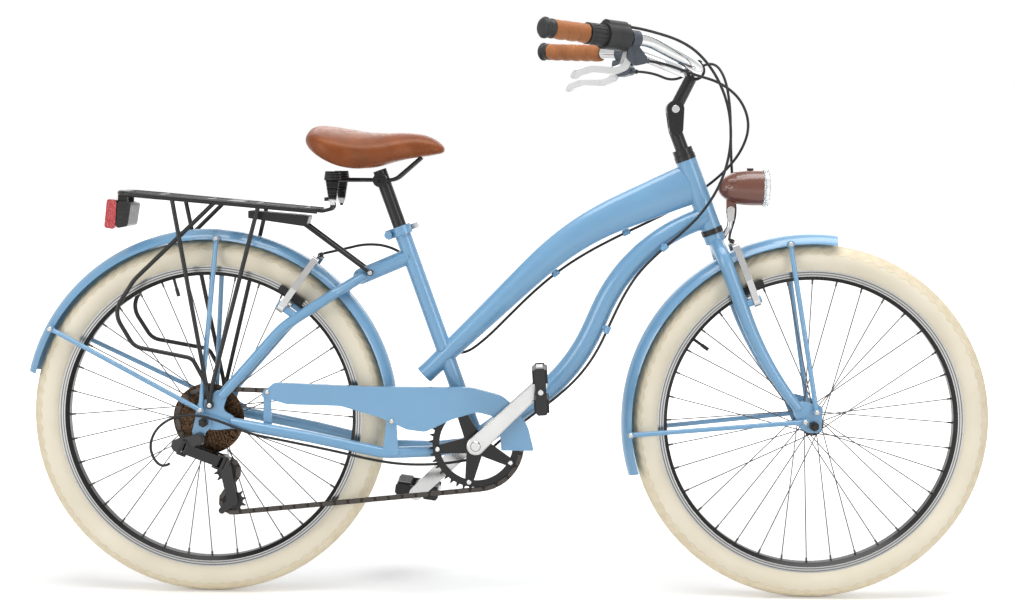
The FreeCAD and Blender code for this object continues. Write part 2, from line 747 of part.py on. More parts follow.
def seat_stay_points(side):
    """Route of one leg of the wishbone, from the single stay to the dropout."""
    rear = monostay_axis()[1]
    origin, outward, away = rear_brake_frame()
    knee = origin + outward * (BRAKE_POST_DISTANCE - STAY_KNEE_INSET) - away * STAY_KNEE_BACK
    return [
        V(rear.x + 8, side * 7, rear.z + 3),
        V(rear.x - 44, side * STAY_BEND_HALF_WIDTH, rear.z - 29),
        V(knee.x, side * 52, knee.z),
        V(30, side * 69.5, AXLE_HEIGHT + 46),
    ]


def rear_brake_frame():
    """Origin and directions of the rear brake: outward along the wheel's radius, and away from the stay."""
    slope = radians(REAR_BRAKE_ANGLE)
    outward = V(cos(slope), 0, sin(slope))
    away = V(-sin(slope), 0, cos(slope))
    return REAR_AXLE, outward, away


def front_brake_frame():
    """Origin and directions of the front brake."""
    return FRONT_AXLE - STEER_FORWARD * FORK_RAKE, STEER_UP, STEER_FORWARD


def brake_post(frame, start, stand_off, side_offset):
    """The post and pin that one right brake arm turns on."""
    origin, outward, away = frame
    foot = origin + outward * BRAKE_POST_DISTANCE - LEFT * side_offset
    post = cylinder(foot + away * start, foot + away * stand_off, BRAKE_POST_RADIUS)
    pin_end = stand_off + BRAKE_ARM_THICKNESS + 2 * FREE_GAP
    pin = cylinder(foot + away * stand_off, foot + away * pin_end, BRAKE_PIN_RADIUS)
    head = cylinder(foot + away * pin_end, foot + away * (pin_end + 3.5), BRAKE_PIN_RADIUS + 3)
    return fuse(post, pin, head)


def wishbone_form():
    """The single upper stay and its two legs, before they are coped."""
    front, rear = monostay_axis()
    upper = cylinder(front, rear, MONOSTAY_RADIUS)
    cap = Part.makeSphere(MONOSTAY_RADIUS, rear)
    legs = [pipe(seat_stay_points(side), SEAT_STAY_RADIUS, [0, 26, 150, 0]) for side in (-1, 1)]
    return fuse(upper, cap, *legs)


def build_seat_stays():
    """Wishbone seat stays: one upper stay, two legs and the rear brake posts."""
    post = brake_post(rear_brake_frame(), -32, 0, REAR_BRAKE_OFFSET)
    wishbone = fuse(wishbone_form(), *both_sides(post))
    wishbone = wishbone.cut(seat_tube_bar(SEAT_TUBE_RADIUS, 0, SEAT_TUBE_LENGTH))
    for plate in both_sides(dropout_plate()):
        wishbone = wishbone.cut(plate)
    save("seat_stays", max(wishbone.Solids, key=lambda solid: solid.Volume))


def build_bearing_cups():
    """Headset cups and bottom bracket cups."""
    bore = STEERER_RADIUS + RUNNING_FIT
    lower = ring(
        steer_point(0, HEAD_TUBE_START - CUP_HEIGHT), steer_point(0, HEAD_TUBE_START), CUP_RADIUS, bore)
    upper = ring(
        steer_point(0, HEAD_TUBE_END), steer_point(0, HEAD_TUBE_END + CUP_HEIGHT), CUP_RADIUS - 1, bore)
    face = BB_SHELL_WIDTH / 2
    profile = [
        (face - 20, SPINDLE_RADIUS + RUNNING_FIT), (face - 20, BB_BORE_RADIUS), (face, BB_BORE_RADIUS),
        (face, BB_SHELL_RADIUS), (face + 3, BB_SHELL_RADIUS - 1), (face + 3, SPINDLE_RADIUS + RUNNING_FIT),
    ]
    cup = lathe(profile, BB_CENTRE, LEFT)
    save("bearing_cups", lower, upper, *both_sides(cup))


def fender_shell(centre, start, end):
    """A round fender between two angles about a wheel's axle."""
    span = FENDER_HALF_WIDTH
    crown = FENDER_RADIUS
    edge = FENDER_RADIUS - FENDER_DEPTH
    inner_edge = V(centre.x + edge, span - FENDER_WALL, centre.z)
    points = [
        V(centre.x + edge, -span, centre.z),
        V(centre.x + crown, 0, centre.z),
        V(centre.x + edge, span, centre.z),
        inner_edge,
        V(centre.x + crown - FENDER_WALL, 0, centre.z),
        V(centre.x + edge, FENDER_WALL - span, centre.z),
    ]
    edges = [
        Part.Arc(points[0], points[1], points[2]).toShape(),
        Part.LineSegment(points[2], points[3]).toShape(),
        Part.Arc(points[3], points[4], points[5]).toShape(),
        Part.LineSegment(points[5], points[0]).toShape(),
    ]
    section = Part.Face(Part.Wire(edges))
    section.rotate(centre, -LEFT, start)
    return section.revolve(centre, -LEFT, end - start)


def fender_core(centre):
    """The full round space under a fender's outer face."""
    edge = FENDER_RADIUS - FENDER_DEPTH
    points = [
        V(centre.x, -FENDER_HALF_WIDTH, centre.z), V(centre.x + edge, -FENDER_HALF_WIDTH, centre.z),
        V(centre.x + FENDER_RADIUS, 0, centre.z),
        V(centre.x + edge, FENDER_HALF_WIDTH, centre.z), V(centre.x, FENDER_HALF_WIDTH, centre.z),
    ]
    edges = [
        Part.LineSegment(points[0], points[1]).toShape(),
        Part.Arc(points[1], points[2], points[3]).toShape(),
        Part.LineSegment(points[3], points[4]).toShape(),
        Part.LineSegment(points[4], points[0]).toShape(),
    ]
    return Part.Face(Part.Wire(edges)).revolve(centre, LEFT, 360)


def fender_stay(core, fender_end, hub_end, hub_face):
    """One right-hand stay: a rod with a flat eye at each end."""
    top_low = V(fender_end.x, -FENDER_HALF_WIDTH + 4, fender_end.z)
    top_high = V(fender_end.x, -FENDER_HALF_WIDTH - STAY_EYE_THICKNESS, fender_end.z)
    top_eye = cylinder(top_low, top_high, STAY_EYE_RADIUS)
    foot_low = V(hub_end.x, -hub_face, hub_end.z)
    foot_high = V(hub_end.x, -hub_face - STAY_EYE_THICKNESS, hub_end.z)
    foot_eye = cylinder(foot_low, foot_high, STAY_EYE_RADIUS)
    start = V(fender_end.x, -FENDER_HALF_WIDTH - STAY_EYE_THICKNESS / 2, fender_end.z)
    end = V(hub_end.x, -hub_face - STAY_EYE_THICKNESS / 2, hub_end.z)
    rod = cylinder(start, end, FENDER_STAY_RADIUS)
    outside = Part.makeBox(60, hub_face, 60, V(hub_end.x - 30, -hub_face, hub_end.z - 30))
    stay = fuse(top_eye, foot_eye, rod.cut(outside)).cut(core)
    for face in (top_high, foot_high):
        stay = stay.cut(cylinder(face, face - LEFT * 6, STAY_EYE_RADIUS))
    return max(stay.Solids, key=lambda solid: solid.Volume)


def rear_stay_tops():
    """Where the rear fender's stays are bolted to it, as angles about the axle."""
    return (87.0, 150.5)


def build_rear_fender():
    """Rear fender with its post, and its forked stays."""
    core = fender_core(REAR_AXLE)
    split = monostay_axis()[1]
    toward = unit(split - REAR_AXLE)
    post = cylinder(REAR_AXLE + toward * (FENDER_RADIUS - 6), split, 6)
    post = post.cut(core).cut(wishbone_form())
    post = min(post.Solids, key=lambda solid: (solid.CenterOfMass - REAR_AXLE).Length)
    save("rear_fender", fender_shell(REAR_AXLE, REAR_FENDER_START, REAR_FENDER_END), post)
    stays = []
    for angle in rear_stay_tops():
        top = around(REAR_AXLE, FENDER_RADIUS - FENDER_DEPTH + 3, angle)
        stays.append(fender_stay(core, top, FENDER_EYELET, REAR_DROPOUT_OUTSIDE))
    save("rear_fender_stays", *both_sides(fuse(*stays)))


def rack_point(along, side=0.0, up=0.0):
    """A point on the rack's deck, measured forward from its rear end."""
    slope = radians(RACK_SLOPE)
    x = RACK_REAR + along * cos(slope) + up * sin(slope)
    return V(x, side, RACK_REAR_HEIGHT - along * sin(slope) + up * cos(slope))


def rack_loop():
    """The rail that runs round the rack's deck."""
    points = [
        rack_point(RACK_LENGTH, -RACK_HALF_WIDTH + 12),
        rack_point(60, -RACK_HALF_WIDTH),
        rack_point(0, -RACK_HALF_WIDTH + 6),
        rack_point(0, RACK_HALF_WIDTH - 6),
        rack_point(60, RACK_HALF_WIDTH),
        rack_point(RACK_LENGTH, RACK_HALF_WIDTH - 12),
    ]
    return pipe(points, RACK_RAIL_RADIUS, [0, 200, 22, 22, 200, 0])


def rack_width(along):
    """Half the deck's width at a distance from its rear end."""
    if along < 60:
        return RACK_HALF_WIDTH - 6 + along / 10
    return RACK_HALF_WIDTH - 12 * (along - 60) / (RACK_LENGTH - 60)


def rack_bracket():
    """The folded plate under the deck's front end."""
    outline = [(-132, 0), (-132, -14), (-25, -16), (-19, 4), (-37, 4)]
    base = RACK_REAR_HEIGHT - 31
    points = [V(RACK_FRONT + x, -26, base - 0.12 * (x + 132) + z) for x, z in outline]
    return slab(points, [2, 2, 3, 2, 2], V(0, 52, 0))


def build_rack_platform():
    """Rack deck: rail, cross bars, two inner rods with curled front ends, a flat strap and the front plate."""
    cross = []
    for along in (70, 160, 250, 340):
        half = rack_width(along)
        cross.append(cylinder(rack_point(along, -half), rack_point(along, half), RACK_ROD_RADIUS))
    rods = []
    for side in (-18, 18):
        route = [
            rack_point(3, side), rack_point(RACK_LENGTH + 6, side), rack_point(RACK_LENGTH + 24, side, 6),
            rack_point(RACK_LENGTH + 20, side, 24), rack_point(RACK_LENGTH + 8, side, 22),
        ]
        rods.append(pipe(route, RACK_ROD_RADIUS - 0.5, [0, 9, 7, 7, 0]))
    strap_low = rack_point(196, -rack_width(196), 1.0)
    strap = Part.makeBox(28, 2 * rack_width(196), 3.0)
    strap = placed(strap, strap_low, unit(rack_point(1) - rack_point(0)), LEFT)
    deck = fuse(rack_loop(), *cross, *rods, strap)
    save("rack_platform", fuse(deck, rack_bracket()))


def rack_leg():
    """Right-hand rack legs with the pannier hoop, welded at the foot."""
    foot = RACK_EYELET
    outside = -REAR_DROPOUT_OUTSIDE
    knee = V(7, outside - 7, foot.z + 30)
    toe = V(foot.x, outside - RACK_EYE_THICKNESS / 2, foot.z)
    rear_leg = pipe([rack_point(100, -59), knee, toe], RACK_ROD_RADIUS, 40)
    front_leg = pipe([rack_point(258, -52), V(15, outside - 7, foot.z + 32), toe], RACK_ROD_RADIUS, 40)
    hoop_points = [
        rack_point(179, -56), V(-128, -66, 260), V(-166, -70, 200), V(-128, -74, 138),
        V(-20, -80, 118), V(6, outside - 7, 70),
    ]
    hoop = pipe(hoop_points, RACK_ROD_RADIUS, [0, 60, 40, 32, 20, 0])
    eye_end = V(foot.x, outside - RACK_EYE_THICKNESS, foot.z)
    eye = cylinder(V(foot.x, outside, foot.z), eye_end, STAY_EYE_RADIUS)
    leg = fuse(rear_leg, front_leg, hoop, eye)
    inside = Part.makeBox(90, 30, 60, V(foot.x - 45, outside, foot.z - 30))
    return leg.cut(inside).cut(cylinder(eye_end, eye_end - LEFT * 8, STAY_EYE_RADIUS))


def strut_anchor():
    """Where the rack's struts are bolted to the upper stay."""
    front, rear = monostay_axis()
    return rear + (front - rear) * 0.2


def rack_strut():
    """Right-hand strut from the rack's front plate to the upper stay."""
    anchor = strut_anchor()
    outside = -MONOSTAY_RADIUS - 2 * RACK_STRUT_RADIUS
    eye = cylinder(V(anchor.x, -10, anchor.z), V(anchor.x, outside, anchor.z), 6)
    start = V(RACK_FRONT - 35, -22, RACK_REAR_HEIGHT - 51)
    bar = cylinder(start, V(anchor.x, outside + RACK_STRUT_RADIUS, anchor.z), RACK_STRUT_RADIUS)
    seat = V(anchor.x, outside, anchor.z)
    return fuse(eye, bar).cut(wishbone_form()).cut(cylinder(seat, seat - LEFT * 6, 6))


def build_rack_legs():
    """Legs, hoops and struts of the rack, both sides."""
    pieces = []
    for piece in (rack_leg(), rack_strut()):
        piece = piece.cut(rack_loop()).cut(rack_bracket())
        biggest = max(piece.Solids, key=lambda solid: solid.Volume)
        pieces.extend(both_sides(biggest))
    save("rack_legs", *pieces)


def rack_outline(points):
    """An outline given from the rack's rear end."""
    return [(RACK_REAR + x, RACK_REAR_HEIGHT + z) for x, z in points]


def build_tail_light():
    """Tail light: a lens in front of its housing, on two tabs under the rack's rear rail."""
    half = TAIL_LIGHT_HALF_WIDTH
    lens_outline = rack_outline([(-30, -64), (-24, -11), (-6, -13), (-10, -67)])
    housing_outline = rack_outline([(-9.5, -66), (-5.5, -14), (20, -19), (13, -61)])
    tab_outline = rack_outline([(-7, -24), (-7, 2), (11, 2), (11, -24)])
    lens = side_plate(lens_outline, 5, -half, half)
    housing = side_plate(housing_outline, 6, -half + 2, half - 2)
    tabs = []
    for side in (-24, 24):
        tabs.append(side_plate(tab_outline, 3, side - 2, side + 2))
    housing = fuse(housing, *tabs).cut(rack_loop()).cut(lens)
    save("tail_light", lens, max(housing.Solids, key=lambda solid: solid.Volume))


def guard_outline():
    """Outline of the chain guard's face."""
    return [
        (103, 45), (104, 53), (126, 71), (300, 65), (490, 65), (553, 49), (594, -2), (606, -51),
        (546, -51), (541, 10), (500, 20), (455, 6), (405, -18), (372, -14), (320, 9), (248, 29), (150, 31),
    ]


def build_chain_guard():
    """Chain guard: a face plate, a raised line along it and a lip turned in over the chain."""
    radii = [3, 4, 8, 30, 60, 50, 60, 3, 3, 26, 30, 60, 20, 30, 60, 60, 20]
    line = -GUARD_LINE
    face = side_plate(guard_outline(), radii, line, line - GUARD_THICKNESS)
    lip_line = [(130, 70.5), (300, 65), (490, 65), (549, 50), (588, 4), (601, -42)]
    points = [V(x, line - GUARD_THICKNESS, z) for x, z in lip_line]
    inner = [V(x, line - GUARD_THICKNESS, z - 1.6) for x, z in lip_line]
    outer_edges = rounded_edges(points, [0, 30, 60, 50, 60, 0], False)
    inner_edges = rounded_edges(inner, [0, 30, 60, 50, 60, 0], False)
    ends = [
        Part.LineSegment(points[-1], inner[-1]).toShape(),
        Part.LineSegment(points[0], inner[0]).toShape(),
    ]
    section = Part.Face(Part.Wire(Part.__sortEdges__(outer_edges + inner_edges + ends)))
    lip = section.extrude(V(0, GUARD_LIP, 0))
    save("chain_guard", fuse(face, lip))


def sprocket_radius(teeth):
    """Pitch radius of a sprocket."""
    return CHAIN_PITCH / (2 * sin(pi / teeth))


def toothed_disc(centre, teeth, first_gap, middle, thickness):
    """A sprocket with a tooth gap at a given angle, centred on a chain line."""
    pitch = sprocket_radius(teeth)
    levels = ((3.0, pitch - 4.4), (1.6, pitch), (0.7, pitch + 2.6))
    points = []
    for tooth in range(teeth):
        angle = first_gap + (tooth + 0.5) * 2 * pi / teeth
        outline = [(-half, radius) for half, radius in levels] + [(half, radius) for half, radius in reversed(levels)]
        for half, radius in outline:
            x = radius * cos(angle) - half * sin(angle)
            z = radius * sin(angle) + half * cos(angle)
            points.append(V(centre.x + x, middle - thickness / 2, centre.z + z))
    return Part.Face(Part.makePolygon(points + points[:1])).extrude(V(0, thickness, 0))


def chain_wheels(cage_angle):
    """Centre, pitch radius, teeth, turning sense and chain line of each wheel that the chain runs round."""
    guide = V(GUIDE_PULLEY[0], 0, GUIDE_PULLEY[1])
    tension = guide + V(sin(cage_angle), 0, -cos(cage_angle)) * CAGE_LENGTH
    rear = SPROCKET_TEETH[0]
    return [
        (REAR_AXLE, sprocket_radius(rear), rear, 1, SPROCKET_LINE),
        (BB_CENTRE, sprocket_radius(CHAINRING_TEETH), CHAINRING_TEETH, 1, CHAINRING_LINE),
        (tension, sprocket_radius(PULLEY_TEETH), PULLEY_TEETH, 1, SPROCKET_LINE),
        (guide, sprocket_radius(PULLEY_TEETH), PULLEY_TEETH, -1, SPROCKET_LINE),
    ]


def chain_tangent(first, second):
    """Contact angle shared by two wheels along the chain's run between them."""
    along = second[0] - first[0]
    base = atan2(along.z, along.x)
    return base + acos((first[3] * first[1] - second[3] * second[1]) / along.Length)


def contact(wheel, normal):
    """The point where the chain leaves or joins a wheel."""
    reach = wheel[3] * wheel[1]
    return V(wheel[0].x + reach * cos(normal), 0, wheel[0].z + reach * sin(normal))


def chain_stretches(cage_angle):
    """Arcs and runs of the chain in order, each with its length in pitches."""
    wheels = chain_wheels(cage_angle)
    count = len(wheels)
    normals = [chain_tangent(wheels[index], wheels[(index + 1) % count]) for index in range(count)]
    stretches = []
    for index in range(count):
        wheel = wheels[index]
        arriving = normals[index - 1]
        leaving = normals[index]
        swing = (arriving - leaving) * wheel[3] % (2 * pi)
        stretches.append(("arc", wheel, arriving, swing * wheel[2] / (2 * pi)))
        following = wheels[(index + 1) % count]
        start = contact(wheel, leaving)
        end = contact(following, leaving)
        stretches.append(("run", (start, wheel[4]), (end, following[4]), (end - start).Length / CHAIN_PITCH))
    return stretches


def chain_length(cage_angle):
    """Length of the chain in pitches."""
    return sum(stretch[3] for stretch in chain_stretches(cage_angle))


def settled_cage_angle():
    """The cage angle that takes up the slack of a chain with an even number of links."""
    low = radians(-20)
    high = radians(40)
    wanted = 2 * round(chain_length(radians(5)) / 2)
    for _ in range(60):
        middle = (low + high) / 2
        if (chain_length(middle) - wanted) * (chain_length(low) - wanted) <= 0:
            high = middle
        else:
            low = middle
    return (low + high) / 2


CAGE_ANGLE = settled_cage_angle()
LINK_COUNT = int(round(chain_length(CAGE_ANGLE)))
TENSION_PULLEY = chain_wheels(CAGE_ANGLE)[2][0]


def chain_joints():
    """Every chain pin's place, with its chain line."""
    stretches = chain_stretches(CAGE_ANGLE)
    joints = []
    position = 0.0
    start = 0.0
    stretch = 0
    for _ in range(LINK_COUNT):
        while position - start >= stretches[stretch][3]:
            start += stretches[stretch][3]
            stretch += 1
        kind, first, second, length = stretches[stretch]
        share = position - start
        if kind == "arc":
            angle = second - first[3] * share * 2 * pi / first[2]
            point = contact(first, angle)
            point.y = -first[4]
        else:
            point = first[0] + (second[0] - first[0]) * (share / length)
            shift = min(1.0, max(0.0, (share - 2) / max(1.0, length - 4)))
            point.y = -(first[1] + (second[1] - first[1]) * shift)
        joints.append(point)
        position += 1.0
    return joints


def gap_angle(wheel_index):
    """The angle of a chain pin that lies on a wheel, where the wheel has a tooth gap."""
    wheel = chain_wheels(CAGE_ANGLE)[wheel_index]
    for point in chain_joints():
        reach = hypot(point.x - wheel[0].x, point.z - wheel[0].z)
        if abs(reach - wheel[1]) < 0.02:
            return atan2(point.z - wheel[0].z, point.x - wheel[0].x)
    return 0.0


def chain_link(outer):
    """One chain link along X from the origin: side plates with pins, or side plates with rollers."""
    inner_face = TOOTH_THICKNESS / 2 + 0.8
    if outer:
        inner_face += LINK_PLATE + 0.1
    far = V(CHAIN_PITCH, 0, 0)
    plates = []
    for side in (-1, 1):
        low = V(0, side * inner_face, 0)
        thickness = V(0, side * LINK_PLATE, 0)
        plates.append(link_plate(low, LINK_PLATE_RADIUS, low + far, LINK_PLATE_RADIUS, thickness))
    posts = []
    half = inner_face + LINK_PLATE + 0.3 if outer else inner_face + 0.1
    radius = CHAIN_PIN_RADIUS if outer else ROLLER_RADIUS
    for x in (0, CHAIN_PITCH):
        posts.append(cylinder(V(x, -half, 0), V(x, half, 0), radius))
    link = fuse(plates[0], plates[1], *posts)
    if outer:
        return link
    for x in (0, CHAIN_PITCH):
        link = link.cut(cylinder(V(x, -9, 0), V(x, 9, 0), CHAIN_PIN_RADIUS + RUNNING_FIT))
    return link


def build_chain():
    """The chain, link by link."""
    joints = chain_joints()
    kinds = (chain_link(True), chain_link(False))
    links = []
    for index, point in enumerate(joints):
        following = joints[(index + 1) % LINK_COUNT]
        ahead = unit(following - point)
        across = unit(LEFT - ahead * ahead.dot(LEFT))
        links.append(placed(kinds[index % 2], point, ahead, across))
    print(f"chain: {LINK_COUNT} links, cage angle {degrees(CAGE_ANGLE):.2f}")
    save("chain", *links)


def build_chainring():
    """Chainring on a five-arm spider, with five bolts."""
    pitch = sprocket_radius(CHAINRING_TEETH)
    middle = -CHAINRING_LINE
    disc = toothed_disc(BB_CENTRE, CHAINRING_TEETH, gap_angle(1), middle, TOOTH_THICKNESS)
    half = LEFT * (TOOTH_THICKNESS / 2)
    centre = BB_CENTRE + V(0, middle, 0)
    window = cylinder(centre - half * 2, centre + half * 2, pitch - 17)
    rim = disc.cut(window)
    outer_face = middle - TOOTH_THICKNESS / 2 - 3
    arms = []
    bolts = []
    for index in range(5):
        angle = CRANK_ANGLE + index * 72
        tip = around(BB_CENTRE, pitch - 13, angle, middle + TOOTH_THICKNESS / 2)
        root = V(BB_X, middle + TOOTH_THICKNESS / 2, BB_Z)
        arms.append(link_plate(root, 17, tip, 7.5, V(0, -TOOTH_THICKNESS - 3, 0)))
        seat = around(BB_CENTRE, pitch - 13, angle, outer_face)
        bolts.append(bolt_head(seat, V(0, -1, 0)))
    hub = cylinder(centre + half, V(BB_X, -CRANK_INNER_FACE, BB_Z), 19)
    ring_body = fuse(rim, hub, *arms)
    bore_start = V(BB_X, -30, BB_Z)
    bore_end = V(BB_X, -CRANK_INNER_FACE - 1, BB_Z)
    ring_body = ring_body.cut(cylinder(bore_start, bore_end, SPINDLE_RADIUS))
    save("chainring", ring_body, *bolts)


def crank_tip(side):
    """The pedal axle's place on one crank; side is -1 on the right."""
    angle = CRANK_ANGLE if side < 0 else CRANK_ANGLE + 180
    return around(BB_CENTRE, CRANK_LENGTH, angle, 0)


def crank_arm(side):
    """One crank arm with its pedal spindle and its end bolt."""
    tip = crank_tip(side)
    inner = side * CRANK_INNER_FACE
    outer = side * (CRANK_INNER_FACE + CRANK_THICKNESS)
    hub = V(BB_X, inner, BB_Z)
    end = V(tip.x, inner, tip.z)
    arm = link_plate(hub, CRANK_HUB_RADIUS, end, CRANK_TIP_RADIUS, V(0, outer - inner, 0))
    rim_edges = [edge for edge in arm.Edges if abs(edge.CenterOfMass.y - outer) < 0.01]
    arm = arm.makeFillet(3.0, rim_edges)
    cap = cone(V(BB_X, outer, BB_Z), V(BB_X, outer + side * 3, BB_Z), 10, 8)
    spindle_start = V(tip.x, inner + side * 2, tip.z)
    spindle_end = V(tip.x, outer + side * (PEDAL_WIDTH + 12), tip.z)
    spindle = cylinder(spindle_start, spindle_end, PEDAL_SPINDLE_RADIUS)
    collar = cylinder(V(tip.x, outer, tip.z), V(tip.x, outer + side * 5, tip.z), 8)
    return fuse(arm, cap, spindle, collar)


def build_crank_set():
    """Spindle and both crank arms."""
    face = CRANK_INNER_FACE + 2
    spindle = cylinder(V(BB_X, -face, BB_Z), V(BB_X, face, BB_Z), SPINDLE_RADIUS)
    save("crank_set", fuse(spindle, crank_arm(-1), crank_arm(1)))


def pedal(side, angle):
    """A pedal on its spindle: barrel and end plates, two grooved treads and two reflectors."""
    tip = crank_tip(side)
    start = CRANK_INNER_FACE + CRANK_THICKNESS + 6
    end = start + PEDAL_WIDTH
    bore = PEDAL_SPINDLE_RADIUS + RUNNING_FIT
    half = PEDAL_LENGTH / 2
    thick = PEDAL_THICKNESS / 2
    barrel = cylinder(V(0, start, 0), V(0, end, 0), PEDAL_BARREL_RADIUS)
    plates = []
    for low in (start, end - 6):
        outline = [(-half, -thick + 4), (-half, thick - 4), (half, thick - 4), (half, -thick + 4)]
        plates.append(side_plate(outline, 4, low, low + 6))
    body = fuse(barrel, *plates).cut(cylinder(V(0, start, 0), V(0, end, 0), bore))
    treads = []
    reflectors = []
    for way in (-1, 1):
        outline = [(way * 14, -thick), (way * 14, thick), (way * (half - 3), thick), (way * (half - 3), -thick)]
        if way < 0:
            outline.reverse()
        tread = side_plate(outline, 2, start + 6, end - 6)
        for groove in spaced(start + 18, end - 22, 6):
            cutter = Part.makeBox(30, 4, 5, V(way * 14 - (30 if way < 0 else 0), groove, thick - 2))
            tread = tread.cut(cutter)
            cutter = Part.makeBox(30, 4, 5, V(way * 14 - (30 if way < 0 else 0), groove, -thick - 3))
            tread = tread.cut(cutter)
        treads.append(tread)
        face = way * (half - 3)
        low = V(min(face, face + way * 3), start + 24, -6)
        reflectors.append(Part.makeBox(3, PEDAL_WIDTH - 48, 12, low))
    solids = [body] + treads + reflectors
    moved = []
    for solid in solids:
        if side < 0:
            solid = mirrored(solid)
        solid = solid.copy()
        solid.rotate(V(0, 0, 0), LEFT, angle)
        solid.translate(V(tip.x, 0, tip.z))
        moved.append(solid)
    return moved


def build_pedals():
    """Both pedals."""
    save("pedal_right", *pedal(-1, RIGHT_PEDAL_ANGLE))
    save("pedal_left", *pedal(1, LEFT_PEDAL_ANGLE))


def freewheel_reach():
    """Outer end of the freewheel."""
    return SPROCKET_LINE + SPROCKET_SPACING * (len(SPROCKET_TEETH) - 1) + TOOTH_THICKNESS


def build_freewheel():
    """Stack of sprockets on a hollow body, with the spoke protector behind it."""
    pieces = []
    for index, teeth in enumerate(SPROCKET_TEETH):
        middle = -(SPROCKET_LINE + index * SPROCKET_SPACING)
        phase = gap_angle(0) if index == 0 else 0.0
        pieces.append(toothed_disc(REAR_AXLE, teeth, phase, middle, TOOTH_THICKNESS))
    start = V(0, -(SPROCKET_LINE - 7), AXLE_HEIGHT)
    end = V(0, -freewheel_reach(), AXLE_HEIGHT)
    body = cylinder(start, end, 23)
    bore = cylinder(start, end, REAR_BARREL_RADIUS + RUNNING_FIT)
    stack = fuse(body, *pieces).cut(bore)
    back = V(0, -(SPROCKET_LINE - 6), AXLE_HEIGHT)
    front = V(0, -(SPROCKET_LINE - 4), AXLE_HEIGHT)
    protector = ring(back, front, PROTECTOR_RADIUS, 23)
    save("freewheel", stack, protector)


def build_derailleur_body():
    """Hanger plate on the axle and the fixed body bolted to it."""
    low = -REAR_DROPOUT_OUTSIDE
    outline = [(-15, 9), (13, 9), (14, -8), (3, -20), (-1, -42), (-17, -42), (-22, -18)]
    shifted = [(x, AXLE_HEIGHT + z) for x, z in outline]
    hanger = side_plate(shifted, [5, 5, 5, 8, 5, 5, 8], low, low - 4)
    bore = REAR_AXLE_RADIUS + RUNNING_FIT
    hanger = hanger.cut(cylinder(V(0, low, AXLE_HEIGHT), V(0, low - 4, AXLE_HEIGHT), bore))
    bolt = V(-8, low - 4, AXLE_HEIGHT - HANGER_DROP)
    pivot = V(*BODY_PIVOT)
    knuckle = cylinder(bolt, V(bolt.x, low - 17, bolt.z), 11)
    arm_end = V(pivot.x - 14, low - 4, pivot.z + 6)
    arm = link_plate(bolt, 10, arm_end, 12, V(0, -13, 0))
    hinge = link_hinge()
    ears = link_ears(pivot, hinge)
    bridge = slab_between(pivot, hinge, -1)
    adjuster = cylinder(V(-52, low - 12, -56), V(-62, low - 12, -76), 4)
    cap = cylinder(V(bolt.x, low - 17, bolt.z), V(bolt.x, low - 20, bolt.z), 8)
    body = fuse(knuckle, arm, ears[0], ears[1], bridge, adjuster, cap).cut(link_room(pivot))
    body = fuse(max(body.Solids, key=lambda solid: solid.Volume), ears[2])
    save("derailleur_body", hanger, body.cut(hanger))


def link_hinge():
    """Along, hinge axis and outward direction of the derailleur's link."""
    along = unit(V(*KNUCKLE_PIVOT) - V(*BODY_PIVOT))
    hinge = unit(V(-along.z, 0, along.x))
    outward = along.cross(hinge)
    return along, hinge, outward


def link_ears(pivot, hinge):
    """Two ears with a pin that hold one end of the link."""
    half = LINK_HEIGHT / 2 + FREE_GAP
    ears = []
    for way in (-1, 1):
        low = pivot + hinge[1] * (way * half)
        ears.append(cylinder(low, low + hinge[1] * (way * 4), 6))
    pin = cylinder(pivot - hinge[1] * (half + 2), pivot + hinge[1] * (half + 2), LINK_PIN_RADIUS)
    return ears + [pin]


def slab_between(pivot, hinge, way):
    """The web that joins the two ears behind one end of the link."""
    half = LINK_HEIGHT / 2 + FREE_GAP + 4
    low = pivot + hinge[0] * (way * 7 if way > 0 else -13) - hinge[1] * half - hinge[2] * 6
    web = placed(Part.makeBox(6, 2 * half, 12), low, hinge[0], hinge[1])
    caps = []
    for end in (-1, 1):
        base = half - 4 if end > 0 else -half
        corner = pivot + hinge[0] * (0 if way > 0 else -13) + hinge[1] * base - hinge[2] * 6
        caps.append(placed(Part.makeBox(13, 4, 12), corner, hinge[0], hinge[1]))
    return fuse(web, *caps)


def link_room(pivot):
    """The space that the link sweeps about one of its pivots."""
    hinge = link_hinge()
    half = hinge[1] * (LINK_HEIGHT / 2 + FREE_GAP)
    radius = LINK_THICKNESS / 2 + 1.0
    start = V(*BODY_PIVOT) - half
    end = V(*KNUCKLE_PIVOT) - half
    rooms = []
    for step in range(5):
        room = link_plate(start, radius, end, radius, half * 2)
        room.rotate(pivot, hinge[1], -SHIFT_SWING * step / 4)
        rooms.append(room)
    return fuse(*rooms)


def build_derailleur_link():
    """The link of the derailleur's parallelogram."""
    along, hinge, outward = link_hinge()
    start = V(*BODY_PIVOT) - hinge * (LINK_HEIGHT / 2)
    end = V(*KNUCKLE_PIVOT) - hinge * (LINK_HEIGHT / 2)
    plate = link_plate(start, LINK_THICKNESS / 2, end, LINK_THICKNESS / 2, hinge * LINK_HEIGHT)
    for pivot in (start, end):
        plate = plate.cut(cylinder(pivot, pivot + hinge * LINK_HEIGHT, LINK_PIN_RADIUS + RUNNING_FIT))
    save("derailleur_link", plate)


def cage_faces():
    """Outer face of the cage's outer plate, and inner face of its inner plate, as Y values."""
    return -(SPROCKET_LINE + CAGE_HALF_WIDTH + CAGE_PLATE), -(SPROCKET_LINE - CAGE_HALF_WIDTH - CAGE_PLATE)


